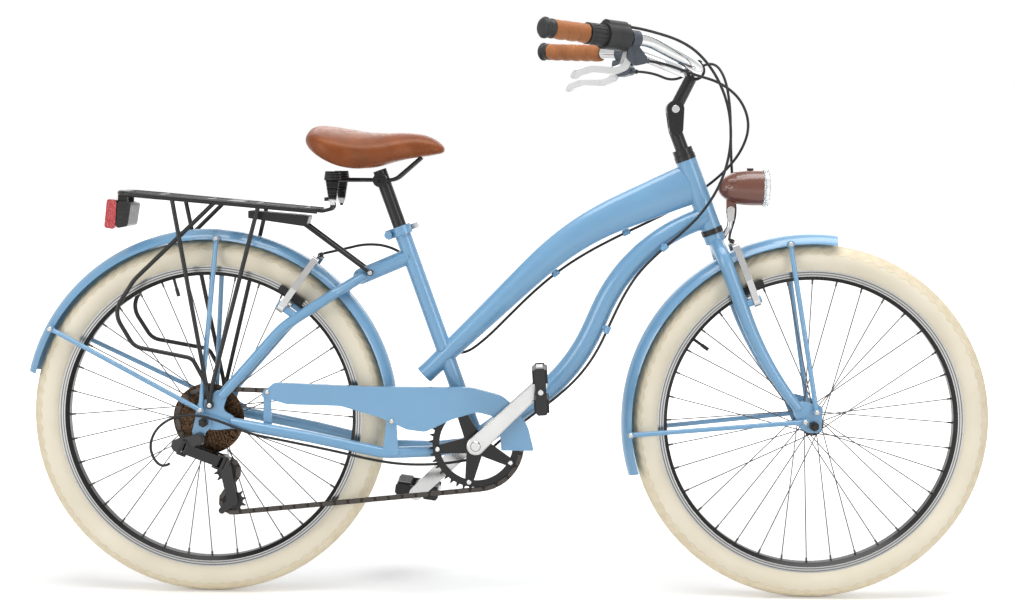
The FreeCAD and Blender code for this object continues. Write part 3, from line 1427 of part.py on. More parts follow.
def build_derailleur_knuckle():
    """The lower knuckle that carries the cage."""
    hinge = link_hinge()
    pivot = V(*KNUCKLE_PIVOT)
    face = cage_faces()[0] - FREE_GAP
    centre_x, centre_z = CAGE_PIVOT
    drum = cylinder(V(centre_x, face, centre_z), V(centre_x, face - 16, centre_z), KNUCKLE_RADIUS)
    body = fuse(drum, *link_ears(pivot, hinge), slab_between(pivot, hinge, 1))
    bore = cylinder(V(centre_x, face, centre_z), V(centre_x, face - 12, centre_z), 5 + RUNNING_FIT)
    body = body.cut(link_room(pivot)).cut(bore)
    body = max(body.Solids, key=lambda solid: solid.Volume)
    save("derailleur_knuckle", fuse(body, link_ears(pivot, hinge)[2]))


def build_derailleur_cage():
    """Two cage plates with the pulley bolts, on a spindle that turns in the knuckle."""
    outer, inner = cage_faces()
    guide = V(GUIDE_PULLEY[0], 0, GUIDE_PULLEY[1])
    pieces = []
    for face in (outer, inner - CAGE_PLATE):
        low_guide = V(guide.x, face, guide.z)
        low_tension = V(TENSION_PULLEY.x, face, TENSION_PULLEY.z)
        pieces.append(link_plate(low_guide, 11, low_tension, 10, V(0, CAGE_PLATE, 0)))
    pivot = V(CAGE_PIVOT[0], outer, CAGE_PIVOT[1])
    low_guide = V(guide.x, outer, guide.z)
    pieces.append(link_plate(pivot, 12, low_guide, 11, V(0, CAGE_PLATE, 0)))
    pieces.append(cylinder(pivot, V(pivot.x, outer - 12, pivot.z), 5))
    for centre in (guide, TENSION_PULLEY):
        start = V(centre.x, outer - 0.1, centre.z)
        pieces.append(cylinder(start, V(centre.x, inner, centre.z), PULLEY_BOLT_RADIUS))
        pieces.append(cylinder(V(centre.x, inner, centre.z), V(centre.x, inner + 2, centre.z), 4.5))
    tail = V(TENSION_PULLEY.x - 20, outer, TENSION_PULLEY.z - 18)
    low_tension = V(TENSION_PULLEY.x, outer, TENSION_PULLEY.z)
    pieces.append(link_plate(low_tension, 9, tail, 6, V(0, CAGE_PLATE, 0)))
    save("derailleur_cage", fuse(pieces[0], *pieces[1:]))


def build_pulleys():
    """Guide and tension pulleys."""
    guide = V(GUIDE_PULLEY[0], 0, GUIDE_PULLEY[1])
    for name, centre, index in (("tension_pulley", TENSION_PULLEY, 2), ("guide_pulley", guide, 3)):
        disc = toothed_disc(centre, PULLEY_TEETH, gap_angle(index), -SPROCKET_LINE, TOOTH_THICKNESS)
        reach = CAGE_HALF_WIDTH - SIDE_GAP
        low = V(centre.x, -SPROCKET_LINE - reach, centre.z)
        high = V(centre.x, -SPROCKET_LINE + reach, centre.z)
        hub = cylinder(low, high, 5)
        bore = cylinder(low, high, PULLEY_BOLT_RADIUS + RUNNING_FIT)
        save(name, fuse(disc, hub).cut(bore))


def tyre_solid(axle):
    """Tyre with its two beads inside the rim."""
    half = TYRE_WIDTH / 2
    centre = V(axle.x, 0, axle.z + TYRE_RADIUS - half)
    outer = Part.Face(Part.Wire(Part.makeCircle(half, centre, V(1, 0, 0))))
    inner = Part.Face(Part.Wire(Part.makeCircle(half - TYRE_WALL, centre, V(1, 0, 0))))
    wall = outer.cut(inner)
    bead_low = RIM_INNER_RADIUS + RIM_BED_DEPTH - 1
    bead_high = RIM_OUTER_RADIUS + 4
    wide = RIM_SIDE - RIM_WALL
    for side in (-1, 1):
        corners = [
            V(axle.x, side * (wide - 3), axle.z + bead_low), V(axle.x, side * wide, axle.z + bead_low),
            V(axle.x, side * wide, axle.z + bead_high), V(axle.x, side * (wide - 3), axle.z + bead_high),
        ]
        wall = wall.fuse(Part.Face(Part.makePolygon(corners + corners[:1])))
    corners = [
        V(axle.x, -RIM_SIDE - 4, axle.z + bead_low - 8), V(axle.x, RIM_SIDE + 4, axle.z + bead_low - 8),
        V(axle.x, RIM_SIDE + 4, axle.z + RIM_OUTER_RADIUS), V(axle.x, -RIM_SIDE - 4, axle.z + RIM_OUTER_RADIUS),
    ]
    band = Part.Face(Part.makePolygon(corners + corners[:1]))
    inside = [
        V(axle.x, -wide, axle.z + bead_low - 9), V(axle.x, wide, axle.z + bead_low - 9),
        V(axle.x, wide, axle.z + bead_high), V(axle.x, -wide, axle.z + bead_high),
    ]
    band = band.cut(Part.Face(Part.makePolygon(inside + inside[:1])))
    section = wall.cut(band).removeSplitter()
    solid = None
    for face in section.Faces:
        turned_face = face.revolve(axle, LEFT, 360)
        solid = turned_face if solid is None else solid.fuse(turned_face)
    return solid


def spoke_ends(left_flange, right_flange, flange_radius):
    """Hub and rim ends of every spoke, as (flange angle, rim angle, hub side, rim side, flange side)."""
    ends = []
    per_side = SPOKE_COUNT // 2
    step = 360.0 / per_side
    swing = SPOKE_CROSSES * step
    lay = FLANGE_THICKNESS / 2 + SPOKE_RADIUS + 0.15
    hole_reach = sqrt(flange_radius ** 2 - (flange_radius - FLANGE_EDGE) ** 2) + 2
    for side, offset, flange in ((1, 0.0, left_flange), (-1, step / 2, right_flange)):
        for index in range(per_side):
            leading = 1 if index % 2 == 0 else -1
            angle = offset + index * step
            coning = (flange - RIM_HOLE_OFFSET) / RIM_INNER_RADIUS * hole_reach if leading > 0 else 0.0
            hub_side = side * (flange + leading * lay + coning)
            ends.append((angle, angle + leading * swing, hub_side, side * RIM_HOLE_OFFSET, side * flange))
    return ends


def spoke_solid(axle, end, flange_radius):
    """One spoke with its bent head through the flange and its nipple through the rim."""
    angle, rim_angle, hub_side, rim_side, flange_side = end
    head = around(axle, flange_radius - FLANGE_EDGE, angle, hub_side)
    rim = around(axle, RIM_INNER_RADIUS + 3.5, rim_angle, rim_side)
    ahead = unit(rim - head)
    shaft = cylinder(head, rim, SPOKE_RADIUS)
    nipple_start = rim - ahead * NIPPLE_LENGTH
    nipple = cylinder(nipple_start, rim, NIPPLE_RADIUS)
    way = 1 if flange_side > hub_side else -1
    head_end = V(head.x, flange_side + way * (FLANGE_THICKNESS / 2 + 1.2), head.z)
    stub = cylinder(head, head_end, SPOKE_RADIUS)
    elbow = Part.makeSphere(SPOKE_RADIUS, head)
    button = cylinder(head_end, V(head.x, head_end.y - way * 1.0, head.z), 1.9)
    return fuse(shaft, nipple, stub, elbow, button)


def rim_solid(axle, ends, flange_radius):
    """Double-wall rim with a hole for each spoke."""
    low = RIM_INNER_RADIUS
    bed = low + RIM_BED_DEPTH - 2
    wide = RIM_SIDE - RIM_WALL
    outer = [
        (-RIM_SIDE, RIM_OUTER_RADIUS), (-RIM_SIDE, low + 7), (-RIM_SIDE + 7, low), (RIM_SIDE - 7, low),
        (RIM_SIDE, low + 7), (RIM_SIDE, RIM_OUTER_RADIUS), (wide, RIM_OUTER_RADIUS), (wide, bed), (-wide, bed),
        (-wide, RIM_OUTER_RADIUS),
    ]
    hollow = [
        (-wide + 1, bed - 2), (-wide + 1, low + 6), (-wide + 4.5, low + 2.2), (wide - 4.5, low + 2.2),
        (wide - 1, low + 6), (wide - 1, bed - 2),
    ]
    solid = lathe(outer, axle, LEFT).cut(lathe(hollow, axle, LEFT))
    holes = []
    for angle, rim_angle, hub_side, rim_side, _ in ends:
        head = around(axle, flange_radius - FLANGE_EDGE, angle, hub_side)
        rim = around(axle, RIM_INNER_RADIUS + 3.5, rim_angle, rim_side)
        ahead = unit(rim - head)
        holes.append(cylinder(rim - ahead * 12, rim + ahead * 2, NIPPLE_RADIUS + RUNNING_FIT))
    return solid.cut(Part.makeCompound(holes))


def valve_solids(axle, rim, angle):
    """Tyre valve: a stem that stands on the rim's inner wall, and its cap."""
    root = around(axle, RIM_INNER_RADIUS + 3, angle)
    middle = around(axle, RIM_INNER_RADIUS - VALVE_LENGTH * 0.55, angle)
    tip = around(axle, RIM_INNER_RADIUS - VALVE_LENGTH, angle)
    stem = cylinder(root, middle, VALVE_RADIUS).cut(rim)
    stem = max(stem.Solids, key=lambda solid: solid.Volume)
    return [stem, cylinder(middle, tip, VALVE_RADIUS + 0.7)]


def hub_solid(axle, left_flange, right_flange, flange_radius, barrel, axle_radius, reach, ends):
    """Hub shell with two drilled flanges."""
    half = FLANGE_THICKNESS / 2
    left_end, right_end = reach
    profile = [
        (-right_end, axle_radius + RUNNING_FIT), (-right_end, barrel), (-right_flange - half, barrel),
        (-right_flange - half, flange_radius), (-right_flange + half, flange_radius),
        (-right_flange + half, barrel + 2), (-right_flange + 6, barrel), (left_flange - 6, barrel),
        (left_flange - half, barrel + 2), (left_flange - half, flange_radius),
        (left_flange + half, flange_radius), (left_flange + half, barrel), (left_end, barrel - 2),
        (left_end, axle_radius + RUNNING_FIT),
    ]
    shell = lathe(profile, axle, LEFT)
    holes = []
    for angle, _, _, _, flange_side in ends:
        start = around(axle, flange_radius - FLANGE_EDGE, angle, flange_side - half - 0.1)
        end = around(axle, flange_radius - FLANGE_EDGE, angle, flange_side + half + 0.1)
        holes.append(cylinder(start, end, SPOKE_RADIUS + RUNNING_FIT))
    return shell.cut(Part.makeCompound(holes))


def build_wheel(name, axle, flanges, flange_radius, barrel, axle_radius, reach, valve_angle):
    """Tyre, rim, spokes and hub of one wheel."""
    left_flange, right_flange = flanges
    ends = spoke_ends(left_flange, right_flange, flange_radius)
    save(f"{name}_tyre", tyre_solid(axle))
    rim = rim_solid(axle, ends, flange_radius)
    save(f"{name}_rim", rim, *valve_solids(axle, rim, valve_angle))
    save(f"{name}_spokes", *[spoke_solid(axle, end, flange_radius) for end in ends])
    hub = hub_solid(axle, left_flange, right_flange, flange_radius, barrel, axle_radius, reach, ends)
    save(f"{name}_hub", hub)


def build_wheels():
    """Both wheels."""
    front_reach = FRONT_HUB_WIDTH / 2 - LOCKNUT_LENGTH - FREE_GAP
    build_wheel(
        "front", FRONT_AXLE, (FRONT_FLANGE_OFFSET, FRONT_FLANGE_OFFSET), FRONT_FLANGE_RADIUS,
        FRONT_BARREL_RADIUS, FRONT_AXLE_RADIUS, (front_reach, front_reach), FRONT_VALVE_ANGLE)
    rear_reach = REAR_HUB_WIDTH / 2 - LOCKNUT_LENGTH - FREE_GAP
    build_wheel(
        "rear", REAR_AXLE, (REAR_FLANGE_LEFT, REAR_FLANGE_RIGHT), REAR_FLANGE_RADIUS,
        REAR_BARREL_RADIUS, REAR_AXLE_RADIUS, (rear_reach, freewheel_reach() - 4), REAR_VALVE_ANGLE)


def axle_set(axle, radius, half_width, plate, right_extra, inner_right):
    """An axle with its lock nuts inside the dropouts and its nuts outside."""
    left_face = half_width + plate
    right_face = left_face + right_extra
    nut = AXLE_NUT_LENGTH
    start = V(axle.x, -(right_face + nut + AXLE_END), axle.z)
    end = V(axle.x, left_face + nut + AXLE_END, axle.z)
    shaft = cylinder(start, end, radius)
    left_lock = ring(
        V(axle.x, half_width - LOCKNUT_LENGTH, axle.z), V(axle.x, half_width, axle.z), radius + 4, radius)
    right_lock = ring(V(axle.x, -half_width, axle.z), V(axle.x, -inner_right, axle.z), radius + 4, radius)
    left_nut = hexagon_nut(
        V(axle.x, left_face, axle.z), V(axle.x, left_face + nut, axle.z), AXLE_NUT_RADIUS, radius)
    right_nut = hexagon_nut(
        V(axle.x, -right_face - nut, axle.z), V(axle.x, -right_face, axle.z), AXLE_NUT_RADIUS, radius)
    return [shaft, left_lock, right_lock, left_nut, right_nut]


def rear_bolts():
    """Bolts of the rear fender, rack, chain guard, seat clamp and tail light."""
    bolts = []
    right = V(0, -1, 0)
    face = -REAR_DROPOUT_OUTSIDE
    sides = [
        bolt_head(V(FENDER_EYELET.x, face - STAY_EYE_THICKNESS, FENDER_EYELET.z), right),
        bolt_head(V(RACK_EYELET.x, face - RACK_EYE_THICKNESS, RACK_EYELET.z), right),
    ]
    for angle in rear_stay_tops():
        seat = around(REAR_AXLE, FENDER_RADIUS - FENDER_DEPTH + 3, angle, -FENDER_HALF_WIDTH - STAY_EYE_THICKNESS)
        sides.append(bolt_head(seat, right))
    anchor = strut_anchor()
    sides.append(bolt_head(V(anchor.x, -MONOSTAY_RADIUS - 2 * RACK_STRUT_RADIUS, anchor.z), right))
    for bolt in sides:
        bolts.extend(both_sides(bolt))
    guard_face = -GUARD_LINE - GUARD_THICKNESS
    bolts.append(bolt_head(V(113, guard_face, 53), right))
    bolts.append(bolt_head(V(343, guard_face, 1), right))
    return bolts


def build_rear_axle():
    """Rear axle, its nuts and the frame's bolts."""
    inner = freewheel_reach() - 4 + FREE_GAP
    pieces = axle_set(
        REAR_AXLE, REAR_AXLE_RADIUS, REAR_DROPOUT_FACE, DROPOUT_THICKNESS, 4.0, inner)
    save("rear_axle_and_bolts", *pieces, *rear_bolts())


def fork_blade_points(side):
    """Upper part of one fork blade, from the crown to the start of the rake."""
    return [
        steer_point(0, HEAD_TUBE_START - CUP_HEIGHT - 16, side * 4),
        steer_point(0, FORK_SHOULDER, side * FORK_BLADE_OFFSET),
        steer_point(0, FORK_RAKE_START, side * FORK_BLADE_OFFSET),
    ]


def raked_blade(side):
    """Lower, raked and tapered part of one blade."""
    start = steer_point(0, FORK_RAKE_START, side * FORK_BLADE_OFFSET)
    half = atan2(FORK_RAKE, FORK_RAKE_START)
    radius = FORK_RAKE_START / sin(2 * half)
    middle_up = (FORK_RAKE_START + FORK_TIP_LENGTH) / 2
    middle_forward = radius - sqrt(radius ** 2 - (FORK_RAKE_START - middle_up) ** 2)
    middle = steer_point(middle_forward, middle_up, start.y)
    end_up = FORK_TIP_LENGTH
    end = steer_point(radius - sqrt(radius ** 2 - (FORK_RAKE_START - end_up) ** 2), end_up, start.y)
    route = Part.Wire(Part.Arc(start, middle, end).toShape())
    first = Part.Wire(Part.makeCircle(FORK_BLADE_RADIUS, start, route.Edges[0].tangentAt(route.Edges[0].FirstParameter)))
    last = Part.Wire(Part.makeCircle(FORK_TIP_RADIUS, end, route.Edges[0].tangentAt(route.Edges[0].LastParameter)))
    return route.makePipeShell([first, last], True, False)


def fork_dropout():
    """Right fork dropout with fender eyelets."""
    inner = -FRONT_HUB_WIDTH / 2
    outline = [(-26, -4), (-40, 30), (-22, 46), (16, 36), (14, -12), (-10, -13)]
    shifted = [(FRONT_AXLE.x + x, FRONT_AXLE.z + z) for x, z in outline]
    plate = side_plate(shifted, [6, 6, 6, 6, 8, 8], inner, inner - FORK_TIP_THICKNESS)
    bore = FRONT_AXLE_RADIUS + RUNNING_FIT
    hole_end = V(FRONT_AXLE.x, inner - FORK_TIP_THICKNESS, FRONT_AXLE.z)
    return plate.cut(cylinder(V(FRONT_AXLE.x, inner, FRONT_AXLE.z), hole_end, bore))


def build_fork():
    """Fork: steerer, crown, raked blades, dropouts and brake posts."""
    crown_top = HEAD_TUBE_START - CUP_HEIGHT - FREE_GAP
    steerer_end = HEAD_TUBE_END + CUP_HEIGHT + LOCKNUT_HEIGHT
    steerer = cylinder(steer_point(0, crown_top - 20), steer_point(0, steerer_end), STEERER_RADIUS)
    bore_low = steer_point(0, HEAD_TUBE_START)
    steerer = steerer.cut(cylinder(bore_low, steer_point(0, steerer_end + 5), QUILL_RADIUS + RUNNING_FIT))
    seat = cylinder(steer_point(0, crown_top - 16), steer_point(0, crown_top), STEERER_RADIUS + 5)
    pieces = [seat]
    for side in (-1, 1):
        upper = pipe(fork_blade_points(side), FORK_BLADE_RADIUS, [0, 34, 0])
        pieces.extend([upper, raked_blade(side)])
    pieces.extend(both_sides(brake_post(front_brake_frame(), 0, BRAKE_STAND_OFF, FORK_BLADE_OFFSET)))
    pieces.extend(both_sides(fork_dropout()))
    fork = fuse(steerer, *pieces)
    clear = FRONT_HUB_WIDTH / 2
    room = cylinder(FRONT_AXLE - LEFT * clear, FRONT_AXLE + LEFT * clear, FRONT_FLANGE_RADIUS + 6)
    bore = FRONT_AXLE_RADIUS + RUNNING_FIT
    reach = clear + 3 * FORK_TIP_THICKNESS
    fork = fork.cut(room).cut(cylinder(FRONT_AXLE - LEFT * reach, FRONT_AXLE + LEFT * reach, bore))
    for side in (-1, 1):
        face = FRONT_AXLE + LEFT * (side * (clear + FORK_TIP_THICKNESS))
        fork = fork.cut(cylinder(face, face + LEFT * (side * 20), AXLE_NUT_RADIUS + 3))
    save("fork", max(fork.Solids, key=lambda solid: solid.Volume))


def stem_pivot():
    """Centre of the stem's pivot bolt."""
    return steer_point(STEM_PIVOT_FORWARD, STEM_PIVOT_HEIGHT)


def bar_centre():
    """Centre of the handlebar in its clamp."""
    slope = radians(STEM_ARM_ANGLE)
    return stem_pivot() + V(cos(slope), 0, sin(slope)) * STEM_ARM_LENGTH


def build_stem_quill():
    """Quill stem with the two ears of its pivot, and the headset's locknut."""
    locknut_start = HEAD_TUBE_END + CUP_HEIGHT + FREE_GAP
    locknut_end = HEAD_TUBE_END + CUP_HEIGHT + LOCKNUT_HEIGHT
    locknut = ring(
        steer_point(0, locknut_start), steer_point(0, locknut_end), LOCKNUT_RADIUS, STEERER_RADIUS)
    quill = cylinder(steer_point(0, HEAD_TUBE_START + 30), steer_point(0, locknut_end + 2), QUILL_RADIUS)
    column = cylinder(steer_point(0, locknut_end), steer_point(0, STEM_PIVOT_HEIGHT - 34), STEM_COLUMN_RADIUS - 0.5)
    pivot = stem_pivot()
    half = STEM_ARM_WIDTH / 2
    ears = []
    foot = steer_point(2, STEM_PIVOT_HEIGHT - 34)
    for side in (-1, 1):
        low = LEFT * (side * (half + FREE_GAP))
        thick = LEFT * (side * STEM_EAR)
        ears.append(link_plate(foot + low, STEM_COLUMN_RADIUS, pivot + low, STEM_HEAD_RADIUS, thick))
    root = cylinder(foot - LEFT * (half + STEM_EAR), foot + LEFT * (half + STEM_EAR), STEM_COLUMN_RADIUS)
    reach = half + STEM_EAR + 3
    bolt = cylinder(pivot - LEFT * reach, pivot + LEFT * reach, STEM_BOLT_RADIUS)
    heads = [
        cylinder(pivot - LEFT * reach, pivot - LEFT * (reach - 3), 7),
        cylinder(pivot + LEFT * (reach - 3), pivot + LEFT * reach, 7),
    ]
    stem = fuse(quill, column, root, *ears, bolt, *heads)
    save("stem_quill", stem, locknut)


def bar_bar(radius, half_length):
    """A bar across the handlebar's middle."""
    centre = bar_centre()
    return cylinder(centre - LEFT * half_length, centre + LEFT * half_length, radius)


def build_stem_arm():
    """Stem arm from the pivot to the handlebar clamp."""
    half = STEM_ARM_WIDTH / 2
    pivot = stem_pivot()
    drum = cylinder(pivot - LEFT * half, pivot + LEFT * half, STEM_HEAD_RADIUS)
    arm = fuse(drum, cone(pivot, bar_centre(), half - FREE_GAP, STEM_ARM_TIP_RADIUS))
    clamp = bar_bar(BAR_CLAMP_RADIUS, BAR_CLAMP_WIDTH / 2)
    bore = cylinder(pivot - LEFT * half, pivot + LEFT * half, STEM_BOLT_RADIUS + RUNNING_FIT)
    slope = radians(STEM_ARM_ANGLE)
    ahead = V(cos(slope), 0, sin(slope))
    bolts = []
    for side in (-14, 14):
        seat = bar_centre() + ahead * (BAR_CLAMP_RADIUS - 1) + LEFT * side
        bolts.append(cylinder(seat, seat + ahead * 4, 4))
    body = fuse(arm, clamp, *bolts).cut(bore).cut(bar_bar(BAR_CENTRE_RADIUS, BAR_CLAMP_WIDTH))
    save("stem_arm", body)


def bar_end(side):
    """Tip of the handlebar on one side; side is -1 on the right."""
    return bar_centre() + V(-BAR_PULLBACK, side * BAR_HALF_WIDTH, BAR_RISE)


def bar_corner(side):
    """Where the handlebar's straight middle and its swept end would meet."""
    return bar_centre() + LEFT * (side * BAR_STRAIGHT)


def grip_frame(side):
    """Directions on one end of the bar: along it outward, down from it, and across both."""
    sweep = radians(BAR_SWEEP)
    slope = radians(BAR_GRIP_SLOPE)
    along = V(-cos(sweep) * cos(slope), side * sin(sweep) * cos(slope), sin(slope))
    down = -UP
    down = unit(down - along * down.dot(along))
    return along, down, along.cross(down)


def grip_point(side, inward, down=0.0, across=0.0):
    """A point on a handlebar end, measured inward from its tip."""
    along, below, sideways = grip_frame(side)
    return bar_end(side) - along * inward + below * down + sideways * across


def bar_knee(side):
    """Where the level grip end and the rising stretch of the handlebar would meet."""
    return grip_point(side, BAR_GRIP_STRAIGHT)


def bar_tube(radius):
    """The handlebar's bent tube as a solid rod."""
    points = [bar_end(-1), bar_knee(-1), bar_corner(-1), bar_corner(1), bar_knee(1), bar_end(1)]
    return pipe(points, radius, [0, BAR_KNEE_BEND, BAR_BEND, BAR_BEND, BAR_KNEE_BEND, 0])


def build_handlebar():
    """Swept handlebar with a thicker middle."""
    bar = bar_tube(BAR_RADIUS)
    middle = bar_bar(BAR_CENTRE_RADIUS, BAR_CLAMP_WIDTH / 2 + 8)
    shoulders = []
    for side in (-1, 1):
        start = bar_centre() + LEFT * (side * (BAR_CLAMP_WIDTH / 2 + 8))
        shoulders.append(cone(start, start + LEFT * (side * 5), BAR_CENTRE_RADIUS, BAR_RADIUS))
    bar = fuse(bar, middle, *shoulders)
    save("handlebar", bar)


def sleeve(side, start, end, outer):
    """A sleeve on the bar between two distances from its tip."""
    return ring(grip_point(side, start), grip_point(side, end), outer, BAR_RADIUS)


def build_grips():
    """Both grips with their end caps."""
    pieces = []
    for side, length in ((-1, RIGHT_GRIP_LENGTH), (1, LEFT_GRIP_LENGTH)):
        cap = sleeve(side, 0, GRIP_CAP_LENGTH, GRIP_CAP_RADIUS)
        plug = cylinder(grip_point(side, -4), grip_point(side, 0), GRIP_CAP_RADIUS - 2)
        pieces.append(fuse(cap, plug))
        pieces.append(sleeve(side, GRIP_CAP_LENGTH, GRIP_CAP_LENGTH + length, GRIP_RADIUS))
    save("grips", *pieces)


def twist_start():
    """Distance of the twist ring's outer end from the bar's tip."""
    return GRIP_CAP_LENGTH + RIGHT_GRIP_LENGTH + SIDE_GAP


def build_twist_grip():
    """Ribbed twist ring of the shifter."""
    start = twist_start()
    end = start + TWIST_GRIP_LENGTH
    along, down, across = grip_frame(-1)
    body = cylinder(grip_point(-1, start), grip_point(-1, end), TWIST_GRIP_RADIUS)
    grooves = []
    for index in range(16):
        angle = index * 2 * pi / 16
        offset = down * (cos(angle) * (TWIST_GRIP_RADIUS + 1)) + across * (sin(angle) * (TWIST_GRIP_RADIUS + 1))
        low = grip_point(-1, start + 4) + offset
        grooves.append(cylinder(low, low - along * (TWIST_GRIP_LENGTH - 8), 2.2))
    body = body.cut(Part.makeCompound(grooves))
    bore = cylinder(grip_point(-1, start), grip_point(-1, end), BAR_RADIUS + RUNNING_FIT)
    save("twist_grip", body.cut(bore))


def lever_point(side, outward, down, across=0.0):
    """A point in one brake lever's frame, measured outward from its pivot along the bar."""
    return grip_point(side, LEVER_CLAMP_POSITION - outward, down, across)


def lever_bracket(side):
    """Clamp, body and cable stop of one brake lever."""
    along, down, across = grip_frame(side)
    start = LEVER_CLAMP_POSITION
    clamp = sleeve(side, start, start + LEVER_CLAMP_WIDTH, LEVER_CLAMP_RADIUS)
    half = LEVER_THICKNESS / 2 + LEVER_EAR + FREE_GAP
    outline = [(8, 14), (8, 34), (-10, 46), (-34, 40), (-36, 28), (-16, 12)]
    points = [lever_point(side, x, z, -half) for x, z in outline]
    body = slab(points, [5, 5, 8, 5, 5, 5], across * (2 * half))
    room_outline = [(20, 10), (20, 60), (-13, 60), (-13, 18)]
    room_half = LEVER_THICKNESS / 2 + FREE_GAP
    room_points = [lever_point(side, x, z, -room_half) for x, z in room_outline]
    room = slab(room_points, 2, across * (2 * room_half))
    pin = cylinder(
        lever_point(side, 0, LEVER_PIVOT_DOWN, -half), lever_point(side, 0, LEVER_PIVOT_DOWN, half), LEVER_PIN_RADIUS)
    stop = cylinder(lever_point(side, -30, 34), lever_point(side, -46, 34), 4.5)
    body = fuse(body, stop).cut(room)
    body = fuse(clamp, body, pin)
    return body.cut(bar_tube(BAR_RADIUS))


def shifter_housing():
    """Drum and gear window of the twist shifter, with its cable outlet."""
    start = twist_start() + TWIST_GRIP_LENGTH + SIDE_GAP
    end = start + SHIFTER_LENGTH
    along, down, across = grip_frame(-1)
    drum = ring(grip_point(-1, start), grip_point(-1, end), SHIFTER_RADIUS, BAR_RADIUS)
    hood = cylinder(grip_point(-1, start + 4, -13), grip_point(-1, end - 2, -13), SHIFTER_RADIUS * 0.65)
    outlet = cylinder(grip_point(-1, end - 6, -20), grip_point(-1, end + 10, -20), 4.5)
    body = fuse(drum, hood, outlet)
    return body.cut(cylinder(grip_point(-1, start - 5), grip_point(-1, end + 5), BAR_RADIUS))


def build_lever_brackets():
    """Both brake lever brackets and the shifter's housing."""
    save("lever_brackets", lever_bracket(-1), lever_bracket(1), shifter_housing())


def brake_lever(side):
    """One brake lever blade on its pivot."""
    along, down, across = grip_frame(side)
    half = LEVER_THICKNESS / 2
    outline = [
        (-9, 24), (-2, 18), (8, 22), (15, 46), (34, LEVER_DROP - 16), (LEVER_REACH - 34, LEVER_DROP - 14),
        (LEVER_REACH - 8, LEVER_DROP - 5), (LEVER_REACH, LEVER_DROP + 6), (LEVER_REACH - 6, LEVER_DROP + 12),
        (LEVER_REACH - 18, LEVER_DROP + 4), (LEVER_REACH - 44, LEVER_DROP - 4), (28, LEVER_DROP - 4), (3, 54),
        (-8, 32),
    ]
    radii = [3, 3, 4, 14, 16, 30, 10, 3, 3, 14, 30, 24, 20, 6]
    points = [lever_point(side, x, z, -half) for x, z in outline]
    blade = slab(points, radii, across * LEVER_THICKNESS)
    bore = cylinder(
        lever_point(side, 0, LEVER_PIVOT_DOWN, -half), lever_point(side, 0, LEVER_PIVOT_DOWN, half),
        LEVER_PIN_RADIUS + RUNNING_FIT)
    return blade.cut(bore)


def build_brake_levers():
    """Right and left brake levers."""
    save("brake_lever_right", brake_lever(-1))
    save("brake_lever_left", brake_lever(1))


def brake_arm(frame, stand_off, side_offset, axle):
    """A right-hand brake arm with its pad's post, and the pad."""
    origin, outward, away = frame
    start = stand_off + FREE_GAP
    pivot = origin + outward * BRAKE_POST_DISTANCE - LEFT * side_offset + away * start
    thick = away * BRAKE_ARM_THICKNESS
    waist = pivot + outward * 40 - LEFT * 3
    tip = pivot + outward * BRAKE_ARM_LENGTH + LEFT * 6
    lower = link_plate(pivot, 11, waist, 8, thick)
    upper = link_plate(waist, 8, tip, 6, thick)
    middle = pivot + away * (BRAKE_ARM_THICKNESS / 2)
    toward = middle + outward * (PAD_RADIUS - BRAKE_POST_DISTANCE) - axle
    toward = unit(V(toward.x, 0, toward.z))
    post_foot = axle + toward * PAD_RADIUS
    pad_back = RIM_SIDE + PAD_GAP + PAD_THICKNESS
    post_end = V(post_foot.x, -pad_back + 2, post_foot.z)
    post = cylinder(V(post_foot.x, -side_offset + 2, post_foot.z), post_end, 3.5)
    arm = fuse(lower, upper, post)
    arm = arm.cut(cylinder(pivot, pivot + thick, BRAKE_PIN_RADIUS + RUNNING_FIT))
    tangent = LEFT.cross(toward)
    corner = post_foot - toward * (PAD_HEIGHT / 2) - tangent * (PAD_LENGTH / 2)
    corner = V(corner.x, -pad_back, corner.z)
    pad = placed(Part.makeBox(PAD_LENGTH, PAD_THICKNESS, PAD_HEIGHT), corner, tangent, LEFT)
    return [arm, pad.cut(arm)]


def build_brake_arms():
    """Four brake arms with their pads."""
    rear = brake_arm(rear_brake_frame(), 0, REAR_BRAKE_OFFSET, REAR_AXLE)
    front = brake_arm(front_brake_frame(), BRAKE_STAND_OFF, FORK_BLADE_OFFSET, FRONT_AXLE)
    save("rear_brake_arm_right", *rear)
    save("rear_brake_arm_left", *[mirrored(piece) for piece in rear])
    save("front_brake_arm_right", *front)
    save("front_brake_arm_left", *[mirrored(piece) for piece in front])


def front_stay_tops():
    """Where the front fender's stays are bolted to it, as angles about the axle."""
    return (98.0, 184.0)


def front_eyelets():
    """Fender eyelets on the fork dropouts."""
    return (V(FRONT_AXLE.x + 4, 0, FRONT_AXLE.z + 26), V(FRONT_AXLE.x - 17, 0, FRONT_AXLE.z + 8))


def build_front_fender():
    """Front fender with its post under the crown, and its four stays."""
    core = fender_core(FRONT_AXLE)
    post = cylinder(steer_point(0, FENDER_RADIUS - 14), steer_point(0, HEAD_TUBE_START - CUP_HEIGHT), 6)
    post = post.cut(core)
    for side in (-1, 1):
        post = post.cut(pipe(fork_blade_points(side), FORK_BLADE_RADIUS, [0, 34, 0]))
    post = min(post.Solids, key=lambda solid: (solid.CenterOfMass - FRONT_AXLE).Length)
    save("front_fender", fender_shell(FRONT_AXLE, FRONT_FENDER_START, FRONT_FENDER_END), post)
    face = FRONT_HUB_WIDTH / 2 + FORK_TIP_THICKNESS
    stays = []
    for angle, eyelet in zip(front_stay_tops(), front_eyelets()):
        top = around(FRONT_AXLE, FENDER_RADIUS - FENDER_DEPTH + 3, angle)
        stay = fender_stay(core, top, eyelet, face)
        stays.extend(both_sides(stay))
    save("front_fender_stays", *stays)


